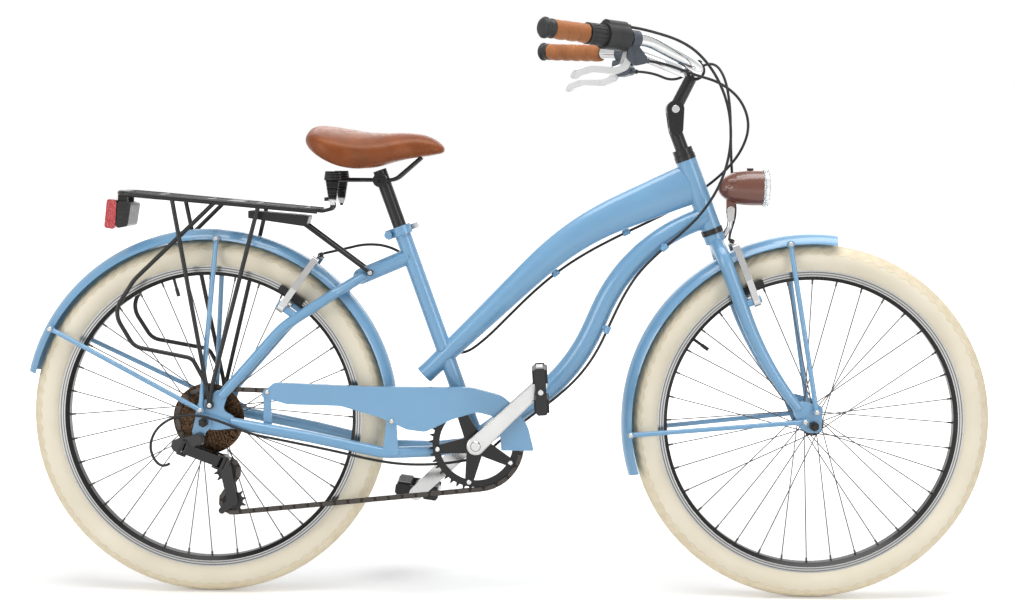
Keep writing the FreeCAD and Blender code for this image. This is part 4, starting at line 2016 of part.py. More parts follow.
def front_bolts():
    """Bolts of the front fender and headlight."""
    right = V(0, -1, 0)
    face = FRONT_HUB_WIDTH / 2 + FORK_TIP_THICKNESS
    bolts = []
    for angle, eyelet in zip(front_stay_tops(), front_eyelets()):
        top = around(
            FRONT_AXLE, FENDER_RADIUS - FENDER_DEPTH + 3, angle, -FENDER_HALF_WIDTH - STAY_EYE_THICKNESS)
        bolts.extend(both_sides(bolt_head(top, right)))
        seat = V(eyelet.x, -face - STAY_EYE_THICKNESS, eyelet.z)
        bolts.extend(both_sides(bolt_head(seat, right)))
    return bolts


def build_front_axle():
    """Front axle, its nuts and the fork's bolts."""
    inner = FRONT_HUB_WIDTH / 2 - LOCKNUT_LENGTH
    pieces = axle_set(
        FRONT_AXLE, FRONT_AXLE_RADIUS, FRONT_HUB_WIDTH / 2, FORK_TIP_THICKNESS, 0.0, inner)
    save("front_axle_and_bolts", *pieces, *front_bolts())


def lamp_axis_point(along, up=0.0, side=0.0):
    """A point on the headlight, measured forward from its back tip."""
    crown = steer_point(0, HEAD_TUBE_START)
    return V(crown.x + LAMP_FORWARD + along, side, crown.z + LAMP_RISE + up)


def lamp_outline(shrink):
    """Half outline of the headlight's bullet, less a wall."""
    steps = 10
    body = []
    for index in range(steps + 1):
        angle = index / steps * pi / 2
        along = LAMP_LENGTH * 0.72 * (1 - cos(angle))
        body.append((along + shrink, max(0.0, (LAMP_RADIUS - shrink) * sin(angle))))
    return body


def build_headlight():
    """Headlight shell, lens with bezel, push button and bracket."""
    forward = V(1, 0, 0)
    outer = lamp_outline(0) + [(LAMP_LENGTH, LAMP_RADIUS), (LAMP_LENGTH, 0)]
    inner = lamp_outline(LAMP_WALL) + [(LAMP_LENGTH, LAMP_RADIUS - LAMP_WALL), (LAMP_LENGTH, 0)]
    base = lamp_axis_point(0)
    shell = lathe(outer, base, forward).cut(lathe(inner, base, forward))
    pivot = lamp_pivot()
    foot_half = LAMP_FOOT_WIDTH / 2
    foot_low = pivot - V(8, foot_half, 6)
    foot = Part.makeBox(16, LAMP_FOOT_WIDTH, base.z - pivot.z, foot_low)
    shell = fuse(shell, foot.cut(lathe(inner, base, forward)))
    shell = shell.cut(cylinder(pivot - LEFT * foot_half, pivot + LEFT * foot_half, LAMP_BOLT_RADIUS + RUNNING_FIT))
    button_base = lamp_axis_point(LAMP_LENGTH * 0.72, LAMP_RADIUS - LAMP_WALL - 3)
    button_top = lamp_axis_point(LAMP_LENGTH * 0.72, LAMP_RADIUS + 3)
    shell = shell.cut(cylinder(button_base, button_top, LAMP_BUTTON_RADIUS + RUNNING_FIT))
    save("headlight_shell", max(shell.Solids, key=lambda solid: solid.Volume))
    bezel = [
        (LAMP_LENGTH, LAMP_RADIUS - LAMP_WALL), (LAMP_LENGTH, BEZEL_RADIUS - 2), (LAMP_LENGTH + 2, BEZEL_RADIUS),
        (LAMP_LENGTH + BEZEL_WIDTH - 2, BEZEL_RADIUS), (LAMP_LENGTH + BEZEL_WIDTH, BEZEL_RADIUS - 3),
        (LAMP_LENGTH + BEZEL_WIDTH, LAMP_RADIUS - LAMP_WALL),
    ]
    pane = lathe(
        [(LAMP_LENGTH, 0), (LAMP_LENGTH, LAMP_RADIUS - LAMP_WALL), (LAMP_LENGTH + 5, LAMP_RADIUS - LAMP_WALL),
         (LAMP_LENGTH + 8, LAMP_RADIUS * 0.6), (LAMP_LENGTH + 9, 0)], base, forward)
    save("headlight_lens", pane, lathe(bezel, base, forward))
    save("headlight_button", cylinder(button_base, button_top, LAMP_BUTTON_RADIUS))


def lamp_pivot():
    """Centre of the bolt that the headlight tilts on."""
    return lamp_axis_point(24, -LAMP_RADIUS - LAMP_FOOT_DROP)


def build_headlight_bracket():
    """Forked bracket from the fork crown to the headlight's bolt."""
    pivot = lamp_pivot()
    crown = steer_point(16, HEAD_TUBE_START - CUP_HEIGHT - 12)
    ears = []
    for side in (-1, 1):
        low = LEFT * (side * (LAMP_FOOT_WIDTH / 2 + FREE_GAP))
        thick = LEFT * (side * 3)
        ears.append(link_plate(pivot + low - UP * 14, 6, pivot + low, 7, thick))
    half = LAMP_FOOT_WIDTH / 2 + FREE_GAP + 3
    web = Part.makeBox(12, 2 * half, 4, V(pivot.x - 6, -half, pivot.z - 20))
    strut = pipe([V(pivot.x, 0, pivot.z - 18), V(pivot.x - 2, 0, pivot.z - 32), crown], 5, 12)
    bolt = cylinder(pivot - LEFT * (half + 2), pivot + LEFT * (half + 2), LAMP_BOLT_RADIUS)
    bracket = fuse(strut, web, *ears, bolt)
    crown_seat = cylinder(
        steer_point(0, HEAD_TUBE_START - CUP_HEIGHT - 40), steer_point(0, HEAD_TUBE_START), STEERER_RADIUS + 5)
    bracket = bracket.cut(crown_seat)
    for side in (-1, 1):
        bracket = bracket.cut(pipe(fork_blade_points(side), FORK_BLADE_RADIUS, [0, 34, 0]))
    save("headlight_bracket", max(bracket.Solids, key=lambda solid: solid.Volume))


def saddle_point(forward, up, side=0.0):
    """A point of the saddle, given from the top of its post."""
    return seat_point(SEATPOST_TOP) + V(forward, side, up)


def clamp_point():
    """Centre of the saddle clamp on the post."""
    return seat_point(SEATPOST_TOP - 26)


def build_seatpost():
    """Plain seatpost."""
    save("seatpost", seat_tube_bar(SEATPOST_RADIUS, SEATPOST_TOP - SEATPOST_LENGTH, SEATPOST_TOP))


def rail_route(side):
    """Route of one saddle rail, from the spring to the nose."""
    return [
        saddle_point(-SPRING_SETBACK, -RAIL_DROP, side * (SPRING_OFFSET - SPRING_RADIUS)),
        saddle_point(-54, -RAIL_DROP, side * 40),
        saddle_point(-26, -RAIL_DROP, side * RAIL_HALF_SPACING),
        saddle_point(30, -RAIL_DROP, side * RAIL_HALF_SPACING),
        saddle_point(78, 24, side * 14),
    ]


def build_saddle_rails():
    """Rails, seat clamp and the two spring units."""
    rails = [pipe(rail_route(side), RAIL_RADIUS, [0, 30, 40, 30, 0]) for side in (-1, 1)]
    middle = clamp_point()
    rail_x = middle.x
    reach = RAIL_HALF_SPACING + 8
    axis_z = saddle_point(0, -RAIL_DROP).z
    drum = cylinder(V(rail_x - 6, -reach, axis_z), V(rail_x - 6, reach, axis_z), 13)
    drum = drum.cut(seat_tube_bar(SEATPOST_RADIUS, SEATPOST_TOP - 100, SEATPOST_TOP + 40))
    drum = max(drum.Solids, key=lambda solid: solid.BoundBox.YLength)
    nuts = []
    for side in (-1, 1):
        start = V(rail_x - 6, side * reach, axis_z)
        nuts.append(hexagon_nut(start, start + LEFT * (side * 7), 8, 3))
    body = fuse(drum, *rails)
    springs = []
    for side in (-1, 1):
        cover, nut = spring_unit(side)
        springs.extend([cover.cut(rails[0]).cut(rails[1]), nut])
    save("saddle_rails", body, *nuts, *springs)


def spring_unit(side):
    """One spring unit under the saddle's rear: a cup, a tapering ribbed cover, a nut and a bolt end."""
    base = saddle_point(-SPRING_SETBACK, -SPRING_DROP, side * SPRING_OFFSET)
    down = V(0, 0, -1)
    cup = SPRING_CUP_DEPTH
    profile = [(0, 0), (0, SPRING_RADIUS), (cup, SPRING_RADIUS + 2), (cup + 3, SPRING_RADIUS + 2)]
    pitch = (SPRING_LENGTH - cup - 5) / SPRING_RIBS
    for rib in range(SPRING_RIBS):
        low = cup + 3 + rib * pitch
        radius = SPRING_RADIUS - (SPRING_RADIUS - SPRING_TIP_RADIUS) * rib / (SPRING_RIBS - 1)
        profile.extend([(low, radius - 1), (low + pitch * 0.3, radius), (low + pitch * 0.7, radius - 0.4)])
    profile.extend([(SPRING_LENGTH, SPRING_TIP_RADIUS - 1), (SPRING_LENGTH, 0)])
    cover = lathe(profile, base, down)
    nut_profile = [
        (SPRING_LENGTH, 0), (SPRING_LENGTH, 5), (SPRING_LENGTH + 5, 5), (SPRING_LENGTH + 5, 3.4),
        (SPRING_LENGTH + 9, 3), (SPRING_LENGTH + 9, 0),
    ]
    return [cover, lathe(nut_profile, base, down)]


def saddle_stations():
    """Saddle sections from rear to nose, from the post's top: place, half width, crown height, skirt height."""
    return [
        (-128, 74, 71, 47), (-110, 100, 81, 29), (-76, 112, 78, 11), (-31, 100, 70, 3),
        (14, 68, 67, 13), (59, 42, 68, 24), (99, 29, 60, 29), (121, 15, 43, 32),
    ]


def saddle_section(x, half, crown, skirt):
    """A saddle section: crowned top, drawn-in sides and a flat underside."""
    edge = skirt + (crown - skirt) * 0.62
    tuck = half * 0.9
    points = [
        saddle_point(x, skirt, -tuck), saddle_point(x, (edge + skirt) / 2 + 2, -half),
        saddle_point(x, edge, -half * 0.94), saddle_point(x, crown), saddle_point(x, edge, half * 0.94),
        saddle_point(x, (edge + skirt) / 2 + 2, half), saddle_point(x, skirt, tuck),
    ]
    edges = [
        Part.Arc(points[0], points[1], points[2]).toShape(),
        Part.Arc(points[2], points[3], points[4]).toShape(),
        Part.Arc(points[4], points[5], points[6]).toShape(),
        Part.LineSegment(points[6], points[0]).toShape(),
    ]
    return Part.Wire(edges)


def build_saddle_cover():
    """Padded saddle: one crowned form from its broad rear to its nose, hollow above the springs and rails."""
    sections = [saddle_section(*station) for station in saddle_stations()]
    saddle = Part.makeLoft(sections, True, False)
    for side in (-1, 1):
        gap = FREE_GAP
        pocket = cylinder(
            saddle_point(-SPRING_SETBACK, -SPRING_DROP - 13, side * SPRING_OFFSET),
            saddle_point(-SPRING_SETBACK, -SPRING_DROP + gap, side * SPRING_OFFSET), SPRING_RADIUS + 5)
        saddle = saddle.cut(pocket)
        socket = cylinder(saddle_point(68, 16, side * 15.9), saddle_point(80, 26.5, side * 13.6), RAIL_RADIUS + gap)
        saddle = saddle.cut(socket)
    save("saddle_cover", max(saddle.Solids, key=lambda solid: solid.Volume))


def seat_lever_pivot():
    """Centre of the quick-release lever's pivot, on the left of the clamp's ear."""
    side = CLAMP_EAR_HALF_WIDTH + SEAT_LEVER_HUB + FREE_GAP
    return seat_point(SEAT_TUBE_LENGTH - CLAMP_COLLAR_HEIGHT / 2, -CLAMP_COLLAR_RADIUS - 5, side)


def build_seat_clamp_lever():
    """Quick-release lever, folded forward along the collar, with its skewer and nut."""
    pivot = seat_lever_pivot()
    half = SEAT_UP * 5
    side = CLAMP_COLLAR_RADIUS + 5
    hub = cylinder(pivot - half, pivot + half, SEAT_LEVER_HUB)
    knee = seat_point(SEAT_TUBE_LENGTH - CLAMP_COLLAR_HEIGHT / 2, -6, side)
    tip = seat_point(SEAT_TUBE_LENGTH - CLAMP_COLLAR_HEIGHT / 2, SEAT_LEVER_LENGTH - 22, side - 3)
    first = link_plate(pivot - half, 4, knee - half, 3, half * 2)
    second = link_plate(knee - half, 3, tip - half, 2.5, half * 2)
    slot = placed(Part.makeBox(14, 30, 6.4), pivot - SEAT_FORWARD * 10.5 - LEFT * 15 - SEAT_UP * 3.2, SEAT_FORWARD, LEFT)
    bore = cylinder(pivot - half, pivot + half, LEVER_PIN_RADIUS + RUNNING_FIT)
    save("seat_clamp_lever", fuse(hub, first, second).cut(slot).cut(bore))


def noodle_points(frame, stand_off, side_offset):
    """Ends of the bare wire between the tips of a pair of brake arms."""
    origin, outward, away = frame
    middle = origin + outward * (BRAKE_POST_DISTANCE + BRAKE_ARM_LENGTH + 10)
    middle = middle + away * (stand_off + FREE_GAP + BRAKE_ARM_THICKNESS / 2)
    return middle - LEFT * (side_offset - 6), middle + LEFT * (side_offset - 6)


def brake_wire(right, left):
    """The bare wire between a pair of brake arms, with its rubber boot."""
    boot = cylinder(V(right.x, -14, right.z), V(right.x, 14, right.z), 4)
    return fuse(cylinder(right, left, WIRE_RADIUS), boot)


def front_brake_cable():
    """Front brake cable: housing from the left lever to the left arm, and the wire between the arms."""
    right, left = noodle_points(front_brake_frame(), BRAKE_STAND_OFF, FORK_BLADE_OFFSET)
    start = lever_point(1, -46, 34)
    along = grip_frame(1)[0]
    points = [
        start, start - along * 34, V(868, 134, 634), V(906, 102, 658), V(938, 70, 670), V(957, 46, 640),
        V(966, 34, 586),
        V(968, 36, 526), V(972, 48, 468), V(978, 58, 420), V(984, 62, 384), V(left.x + 1, 58, left.z + 8), left,
    ]
    return fuse(cable("front brake cable", points, HOUSING_RADIUS), brake_wire(right, left))


def rear_brake_route():
    """Route of the rear brake cable's housing, from the right lever round the left of the head tube."""
    start = lever_point(-1, -46, 34)
    along = grip_frame(-1)[0]
    left = noodle_points(rear_brake_frame(), 0, REAR_BRAKE_OFFSET)[1]
    return [
        start, start - along * 34, V(884, -122, 636), V(936, -86, 624), V(978, -50, 594), V(998, -14, 548),
        V(986, 20, 500), V(952, 36, 458), V(908, 37, 424), V(862, 31, 392), V(808, 24, 366), V(752, 21, 339),
        V(700, 20.5, 311), V(650, 20.5, 278), V(604, 20.5, 239), V(560, 20.5, 195), V(516, 21, 150), V(476, 24, 119),
        V(446, 27, 124), V(428, 26, 158), V(408, 24, 208), V(388, 24, 260), V(366, 24, 302), V(328, 28, 322),
        V(284, 38, 324), V(246, 46, 314), left,
    ]


def shift_route():
    """Route of the shift cable's housing, from the shifter down the frame's right side to the derailleur."""
    start = grip_point(-1, twist_start() + TWIST_GRIP_LENGTH + SIDE_GAP + SHIFTER_LENGTH + 10, -20)
    along = grip_frame(-1)[0]
    return [
        start, start - along * 34, V(868, -156, 690), V(914, -130, 650), V(946, -98, 594), V(958, -74, 534),
        V(954, -54, 480), V(938, -40, 432), V(912, -30, 390), V(878, -26, 354), V(838, -23, 320),
        V(798, -20, 280), V(770, -18, 236), V(746, -17, 184), V(722, -17, 130), V(690, -17, 84),
        V(648, -17, 44), V(600, -17, 8), V(552, -18, -30), V(510, -22, -69), V(462, -30, -78),
        V(412, -38, -82), V(356, -46, -80), V(300, -52, -70), V(244, -57, -56), V(188, -61, -44),
        V(132, -67, -32), V(82, -75, -21), V(38, -90, 2), V(-8, -93, 16), V(-52, -87, 12),
        V(-86, -83, -10), V(-100, -82, -42), V(-92, -83, -70), V(-74, -84.5, -84), V(-62, -86, -76),
    ]


def parted(housing):
    """A housing's upper run, which turns with the handlebar, and the rest of it."""
    reach = 2 * WHEELBASE
    above = Part.makeBox(reach, reach, reach, V(0, -reach / 2, CABLE_SPLIT_HEIGHT))
    return housing.common(above), housing.cut(above)


def build_cables():
    """The cables' runs at the handlebar, with the whole front brake cable, and their runs on the frame."""
    right, left = noodle_points(rear_brake_frame(), 0, REAR_BRAKE_OFFSET)
    brake_upper, brake_lower = parted(cable("rear brake cable", rear_brake_route(), HOUSING_RADIUS))
    shift_upper, shift_lower = parted(cable("shift cable", shift_route(), HOUSING_RADIUS))
    save("bar_cables", front_brake_cable(), brake_upper, shift_upper)
    save("frame_cables", fuse(brake_lower, brake_wire(right, left)), shift_lower)


def main():
    """Build every node."""
    os.makedirs("parts", exist_ok=True)
    build_head_tube()
    build_top_tube()
    build_down_tube()
    build_seat_tube()
    build_chain_stays()
    build_seat_stays()
    build_bearing_cups()
    build_rear_fender()
    build_rack_platform()
    build_rack_legs()
    build_tail_light()
    build_chain_guard()
    build_chain()
    build_chainring()
    build_crank_set()
    build_pedals()
    build_freewheel()
    build_derailleur_body()
    build_derailleur_link()
    build_derailleur_knuckle()
    build_derailleur_cage()
    build_pulleys()
    build_wheels()
    build_rear_axle()
    build_fork()
    build_stem_quill()
    build_stem_arm()
    build_handlebar()
    build_grips()
    build_twist_grip()
    build_lever_brackets()
    build_brake_levers()
    build_brake_arms()
    build_front_fender()
    build_front_axle()
    build_headlight()
    build_headlight_bracket()
    build_seatpost()
    build_saddle_rails()
    build_saddle_cover()
    build_seat_clamp_lever()
    build_cables()


if __name__ == "__main__":
    main()
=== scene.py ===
"""Looks of a beach cruiser bicycle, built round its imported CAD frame. Lengths are in metres."""

import math

import bmesh
import bpy
import numpy as np
from mathutils import Matrix, Vector


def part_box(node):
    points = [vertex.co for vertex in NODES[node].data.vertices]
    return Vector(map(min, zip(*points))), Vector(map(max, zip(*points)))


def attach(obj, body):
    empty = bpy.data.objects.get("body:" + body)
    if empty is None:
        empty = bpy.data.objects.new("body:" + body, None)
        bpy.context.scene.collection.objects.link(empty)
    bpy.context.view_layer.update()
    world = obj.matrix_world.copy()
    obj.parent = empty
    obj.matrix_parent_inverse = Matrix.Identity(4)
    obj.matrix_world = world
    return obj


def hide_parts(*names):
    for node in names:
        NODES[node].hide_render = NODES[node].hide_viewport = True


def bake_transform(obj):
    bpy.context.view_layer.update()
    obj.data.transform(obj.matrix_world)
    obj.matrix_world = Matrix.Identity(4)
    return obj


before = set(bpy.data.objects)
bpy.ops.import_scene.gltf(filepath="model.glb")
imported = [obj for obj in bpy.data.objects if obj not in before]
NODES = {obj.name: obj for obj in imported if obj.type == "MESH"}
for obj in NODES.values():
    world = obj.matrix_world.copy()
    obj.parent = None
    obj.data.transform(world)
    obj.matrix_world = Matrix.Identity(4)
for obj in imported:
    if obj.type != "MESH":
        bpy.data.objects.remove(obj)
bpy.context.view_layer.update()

UP = Vector((0, 0, 1))

# Camera: its focal length is in pixels and its sensor in millimetres
IMAGE_WIDTH = 1015
FOCAL_PIXELS = 1723.2
SENSOR_WIDTH = 36.0
CAMERA_PLACE = Vector((0.0591, -3.2, 0.8146))
CAMERA_YAW = math.radians(-1.069)
CAMERA_PITCH = math.radians(4.898)
CAMERA_ROLL = math.radians(0.398)

# Grips
BAR_RADIUS = 0.0111
BAR_FIT = 0.0002
GRIP_TIP = Vector((0.0612, 0.3200, 1.0342))
GRIP_ALONG = Vector((-0.7912, 0.6093, 0.0523))
GRIP_RADIUS = 0.0165
LEFT_GRIP_LENGTH = 0.128
RIGHT_GRIP_LENGTH = 0.074
GRIP_GAP = 0.0003
GRIP_EDGE = 0.0006
GRIP_STEP = 0.0011
GRIP_POINTS_AROUND = 64
WRAP_PITCH = 0.0245
WRAP_DEPTH = 0.0011
WRAP_SWELL = 0.0007
SEAM_DEPTH = 0.0011
SEAM_SHARE = 0.045
FINGER_SWELL = 0.0011
GRIP_CAP_RADIUS = 0.018
GRIP_CAP_LENGTH = 0.018
GRIP_CAP_POINTS_AROUND = 48
GRIP_CAP_PROFILE = (
    (-0.0040, 0.0040), (-0.0039, 0.0100), (-0.0034, 0.0128), (-0.0020, 0.0150), (0.0000, 0.0166),
    (0.0016, GRIP_CAP_RADIUS), (0.0042, GRIP_CAP_RADIUS), (0.0058, GRIP_CAP_RADIUS - 0.0012),
    (0.0068, 0.0152), (0.0090, 0.0150), (0.0125, 0.0153), (0.0140, 0.0164), (0.0170, 0.0166),
    (GRIP_CAP_LENGTH, 0.0160), (GRIP_CAP_LENGTH, BAR_RADIUS + BAR_FIT),
)

# Rims and tyres: the places of grooves and ribs are shares of the way from the tread's middle to its edge
RIM_EDGE = 0.285
RIM_TRACK = 0.2755
RIM_CHANNEL = 0.0125
BEAD_LIP = 0.002
BEAD_ANGLE = math.radians(138)
SECTION_STEPS = 34
TREAD_PITCHES = 84
TREAD_STEPS = 8
TREAD_ANGLE = math.radians(74)
TREAD_SCALLOP = math.radians(9)
TREAD_BLEND = math.radians(5)
GROOVE_DEPTH = 0.0011
GROOVE_CUT = 0.55
GROOVE_SWAY = 0.55
GROOVE_SWAY_TURN = 4.2
GROOVE_START = 0.25
GROOVE_FADE = 0.12
RIB_PLACE = 0.32
RIB_WIDTH = 0.06

# Saddle
SADDLE_VOXEL = 0.0035
SADDLE_PRESSURE = 2.0
SADDLE_FRAMES = 12
SADDLE_SWELL = 0.0015
SADDLE_TENSION = 40
SADDLE_BENDING = 8
SADDLE_SMOOTHING = 0.6
SADDLE_SMOOTH_ROUNDS = 14
TINY = 1e-9

# Places where one CAD node changes its material
AXLE_NUT_REACH = 0.008
TAIL_LENS_END = 0.021
TAIL_BAND_END = 0.029
TAIL_BRACKET_HEIGHT = 0.015
SHIFTER_DRUM_FRONT = 0.180
SHIFTER_DRUM_BOTTOM = 1.02
REFLECTOR_MOST_FACES = 50
OUTER_LINK_WIDTH = 0.0065
RING_BOLT_WIDTH = 0.02
HANGER_FACE = -0.0776
PULLEY_BEARING = 0.004
BRAKE_PAD_BACK = 0.0294
STEM_HEAD_HEIGHT = 0.035
STEM_BOLT_FACE = 0.0194
BEZEL_WIDTH = 0.0045
SPROCKET_EDGE = 0.006
SPRING_NUT_BOTTOM = 0.005
SPRING_NUT_TOP = 0.014
SPRING_NUT_SIDE = 0.05
SPRING_BOOT_TOP = 0.066
SPRING_BOOT_SIDE = 0.03

# Surface patterns: most of a noise lies between its low and its high value
NOISE_LOW = 0.3
NOISE_HIGH = 0.7
EDGE_ROUNDING = 0.0012
EDGE_SAMPLES = 4
BOOT_PITCH = 0.0045
WAVE_TURN = math.tau / 20
# Pitch of the painted reflection rings on the brake tracks
REFLECTION_RING_PITCH = 0.0046
# Where the line of painted shade lies on the share between sidewall and tread
SCALLOP_SHADE_LINE = ((0.12, (0, 0, 0)), (0.30, (0.85, 0.85, 0.85)), (0.48, (0, 0, 0)))

# Lamps, each with its name, place, size and power in watts
LAMP_TARGET = (0, 0, 0.5)
LAMPS = (
    ("overhead", (0.2, -0.5, 3.2), (3.4, 1.6), 88),
    ("left_side", (-3.0, -2.8, 1.3), (1.6, 2.2), 50),
    ("right_side", (3.0, -2.8, 1.2), (1.4, 2.2), 40),
    ("behind", (0.4, 3.0, 2.4), (3.2, 1.8), 34),
)
SURROUND_LIGHT = 0.30

# Floor
FLOOR_HALF = 30.0
FLOOR_NEAR = 0.8
FLOOR_FAR = 2.6
FLOOR_NEAR_GLOW = 0.22

# Cables: their routes are control points, from the lever or shifter to the far end
HOUSING_DIAMETER = 0.005
HOUSING_POINTS_AROUND = 14
WIRE_DIAMETER = 0.0016
WIRE_POINTS_AROUND = 10
BELLOWS_LENGTH = 0.028
BELLOWS_STEPS = 28
BELLOWS_STEPS_PER_RIB = 4
BELLOWS_RIB_RADIUS = 0.0040
BELLOWS_VALLEY_RADIUS = 0.0030
BELLOWS_POINTS_AROUND = 20
ROUTE_STEPS = 16
REAR_BRAKE_ROUTE = (
    (0.2441, -0.1791, 0.9880), (0.2710, -0.1584, 0.9862), (0.3288, -0.1220, 0.9680),
    (0.3808, -0.0860, 0.9560), (0.4228, -0.0500, 0.9260), (0.4428, -0.0140, 0.8800),
    (0.4308, 0.0200, 0.8320), (0.3968, 0.0360, 0.7900), (0.3528, 0.0370, 0.7560),
    (0.3068, 0.0310, 0.7240), (0.2528, 0.0240, 0.6980), (0.1968, 0.0210, 0.6710),
    (0.1448, 0.0205, 0.6430), (0.0948, 0.0205, 0.6100), (0.0488, 0.0205, 0.5710),
    (0.0048, 0.0205, 0.5270), (-0.0392, 0.0210, 0.4820), (-0.0792, 0.0240, 0.4510),
    (-0.1092, 0.0270, 0.4560), (-0.1272, 0.0260, 0.4900), (-0.1472, 0.0240, 0.5400),
    (-0.1672, 0.0240, 0.5920), (-0.1892, 0.0240, 0.6340), (-0.2272, 0.0280, 0.6540),
    (-0.2712, 0.0380, 0.6560), (-0.3092, 0.0460, 0.6460), (-0.3493, 0.0440, 0.6371),
)
REAR_BRAKE_SPLIT = (0.4358, 0.0060, 0.8520)
SHIFT_ROUTE = (
    (0.2100, -0.2054, 1.0443), (0.2369, -0.1847, 1.0426), (0.3128, -0.1560, 1.0220),
    (0.3588, -0.1300, 0.9820), (0.3908, -0.0980, 0.9260), (0.4028, -0.0740, 0.8660),
    (0.3988, -0.0540, 0.8120), (0.3828, -0.0400, 0.7640), (0.3568, -0.0300, 0.7220),
    (0.3228, -0.0260, 0.6860), (0.2828, -0.0230, 0.6520), (0.2428, -0.0200, 0.6120),
    (0.2148, -0.0180, 0.5680), (0.1908, -0.0170, 0.5160), (0.1668, -0.0170, 0.4620),
    (0.1348, -0.0170, 0.4160), (0.0928, -0.0170, 0.3760), (0.0448, -0.0170, 0.3400),
    (-0.0032, -0.0180, 0.3020), (-0.0452, -0.0220, 0.2630), (-0.0932, -0.0300, 0.2540),
    (-0.1432, -0.0380, 0.2500), (-0.1992, -0.0460, 0.2520), (-0.2552, -0.0520, 0.2620),
    (-0.3112, -0.0570, 0.2760), (-0.3672, -0.0610, 0.2880), (-0.4232, -0.0670, 0.3000),
    (-0.4732, -0.0750, 0.3110), (-0.5172, -0.0900, 0.3340), (-0.5632, -0.0930, 0.3480),
    (-0.6072, -0.0870, 0.3440), (-0.6412, -0.0830, 0.3220), (-0.6552, -0.0820, 0.2900),
    (-0.6472, -0.0830, 0.2620), (-0.6292, -0.0845, 0.2480), (-0.6172, -0.0860, 0.2560),
)
SHIFT_SPLIT = (0.4018, -0.0690, 0.8520)
FRONT_BRAKE_ROUTE = (
    (0.2441, 0.1791, 0.9880), (0.2710, 0.1584, 0.9862), (0.3128, 0.1340, 0.9660),
    (0.3508, 0.1020, 0.9900), (0.3828, 0.0700, 1.0020), (0.4018, 0.0460, 0.9720),
    (0.4108, 0.0340, 0.9180), (0.4128, 0.0360, 0.8580), (0.4168, 0.0480, 0.8000),
    (0.4228, 0.0580, 0.7520), (0.4288, 0.0620, 0.7160), (0.4155, 0.0580, 0.6765),
    (0.4145, 0.0430, 0.6685),
)


def new_material(name, colour, roughness, metallic=0.0):
    """A material with one Principled shader and its plain values set."""
    material = bpy.data.materials.new(name)
    material.use_nodes = True
    shader = shader_of(material)
    shader.inputs["Base Color"].default_value = (*colour, 1)
    shader.inputs["Roughness"].default_value = roughness
    shader.inputs["Metallic"].default_value = metallic
    return material


def shader_of(material):
    """The Principled shader of a material."""
    return material.node_tree.nodes["Principled BSDF"]


def set_values(material, **values):
    """Sets plain shader sockets, with underscores for the spaces in their names."""
    for key, value in values.items():
        shader_of(material).inputs[key.replace("_", " ")].default_value = value
    return material


def coordinates(material):
    """Object coordinates in metres."""
    return material.node_tree.nodes.new("ShaderNodeTexCoord").outputs["Object"]


def noise(material, scale, detail):
    """A noise pattern with the given cells per metre."""
    tree = material.node_tree
    pattern = tree.nodes.new("ShaderNodeTexNoise")
    pattern.inputs["Scale"].default_value = scale
    pattern.inputs["Detail"].default_value = detail
    tree.links.new(coordinates(material), pattern.inputs["Vector"])
    return pattern.outputs["Fac"]


def cells(material, scale, feature):
    """A cell pattern, for leather grain and lens prisms."""
    tree = material.node_tree
    pattern = tree.nodes.new("ShaderNodeTexVoronoi")
    pattern.feature = feature
    pattern.inputs["Scale"].default_value = scale
    tree.links.new(coordinates(material), pattern.inputs["Vector"])
    return pattern.outputs["Distance"]


def vector_math(tree, operation, first, second=None):
    """A vector node over a pattern and, where it needs one, a fixed vector."""
    node = tree.nodes.new("ShaderNodeVectorMath")
    node.operation = operation
    tree.links.new(first, node.inputs[0])
    if second is not None:
        node.inputs[1].default_value = second
    return node.outputs["Value" if operation == "LENGTH" else "Vector"]


def number_math(tree, operation, first, second):
    """A math node over a pattern and either a fixed number or a second pattern."""
    node = tree.nodes.new("ShaderNodeMath")
    node.operation = operation
    tree.links.new(first, node.inputs[0])
    if isinstance(second, float):
        node.inputs[1].default_value = second
    else:
        tree.links.new(second, node.inputs[1])
    return node.outputs["Value"]


def mapped(tree, value, source, target, interpolation="LINEAR"):
    """A value carried from one range to another."""
    node = tree.nodes.new("ShaderNodeMapRange")
    node.interpolation_type = interpolation
    for name, (low, high) in (("From", source), ("To", target)):
        node.inputs[name + " Min"].default_value = low
        node.inputs[name + " Max"].default_value = high
    tree.links.new(value, node.inputs["Value"])
    return node.outputs["Result"]


def ramp(material, value, stops):
    """A colour ramp over a value, from (position, colour) stops."""
    tree = material.node_tree
    node = tree.nodes.new("ShaderNodeValToRGB")
    elements = node.color_ramp.elements
    while len(elements) < len(stops):
        elements.new(0.5)
    for element, (position, colour) in zip(elements, stops):
        element.position = position
        element.color = (*colour, 1)
    tree.links.new(value, node.inputs["Fac"])
    return node.outputs["Color"]


def shades(material, value, dark, light):
    """A colour that runs from dark to light over a noise."""
    return ramp(material, value, ((NOISE_LOW, dark), (NOISE_HIGH, light)))


def blended(material, share, first, second):
    """Two colours mixed by a share."""
    tree = material.node_tree
    mix = tree.nodes.new("ShaderNodeMix")
    mix.data_type = "RGBA"
    tree.links.new(share, mix.inputs["Factor"])
    tree.links.new(first, mix.inputs["A"])
    tree.links.new(second, mix.inputs["B"])
    return mix.outputs["Result"]


def stain(material, colour):
    """Takes the base colour from a pattern."""
    material.node_tree.links.new(colour, shader_of(material).inputs["Base Color"])
    return material


def scaled(colour, factor):
    """A colour made lighter or darker."""
    return tuple(min(1.0, part * factor) for part in colour)


def cloud(material, colour, value, dark, light):
    """Makes the base colour a little darker and lighter over a noise."""
    return stain(material, shades(material, value, scaled(colour, dark), scaled(colour, light)))


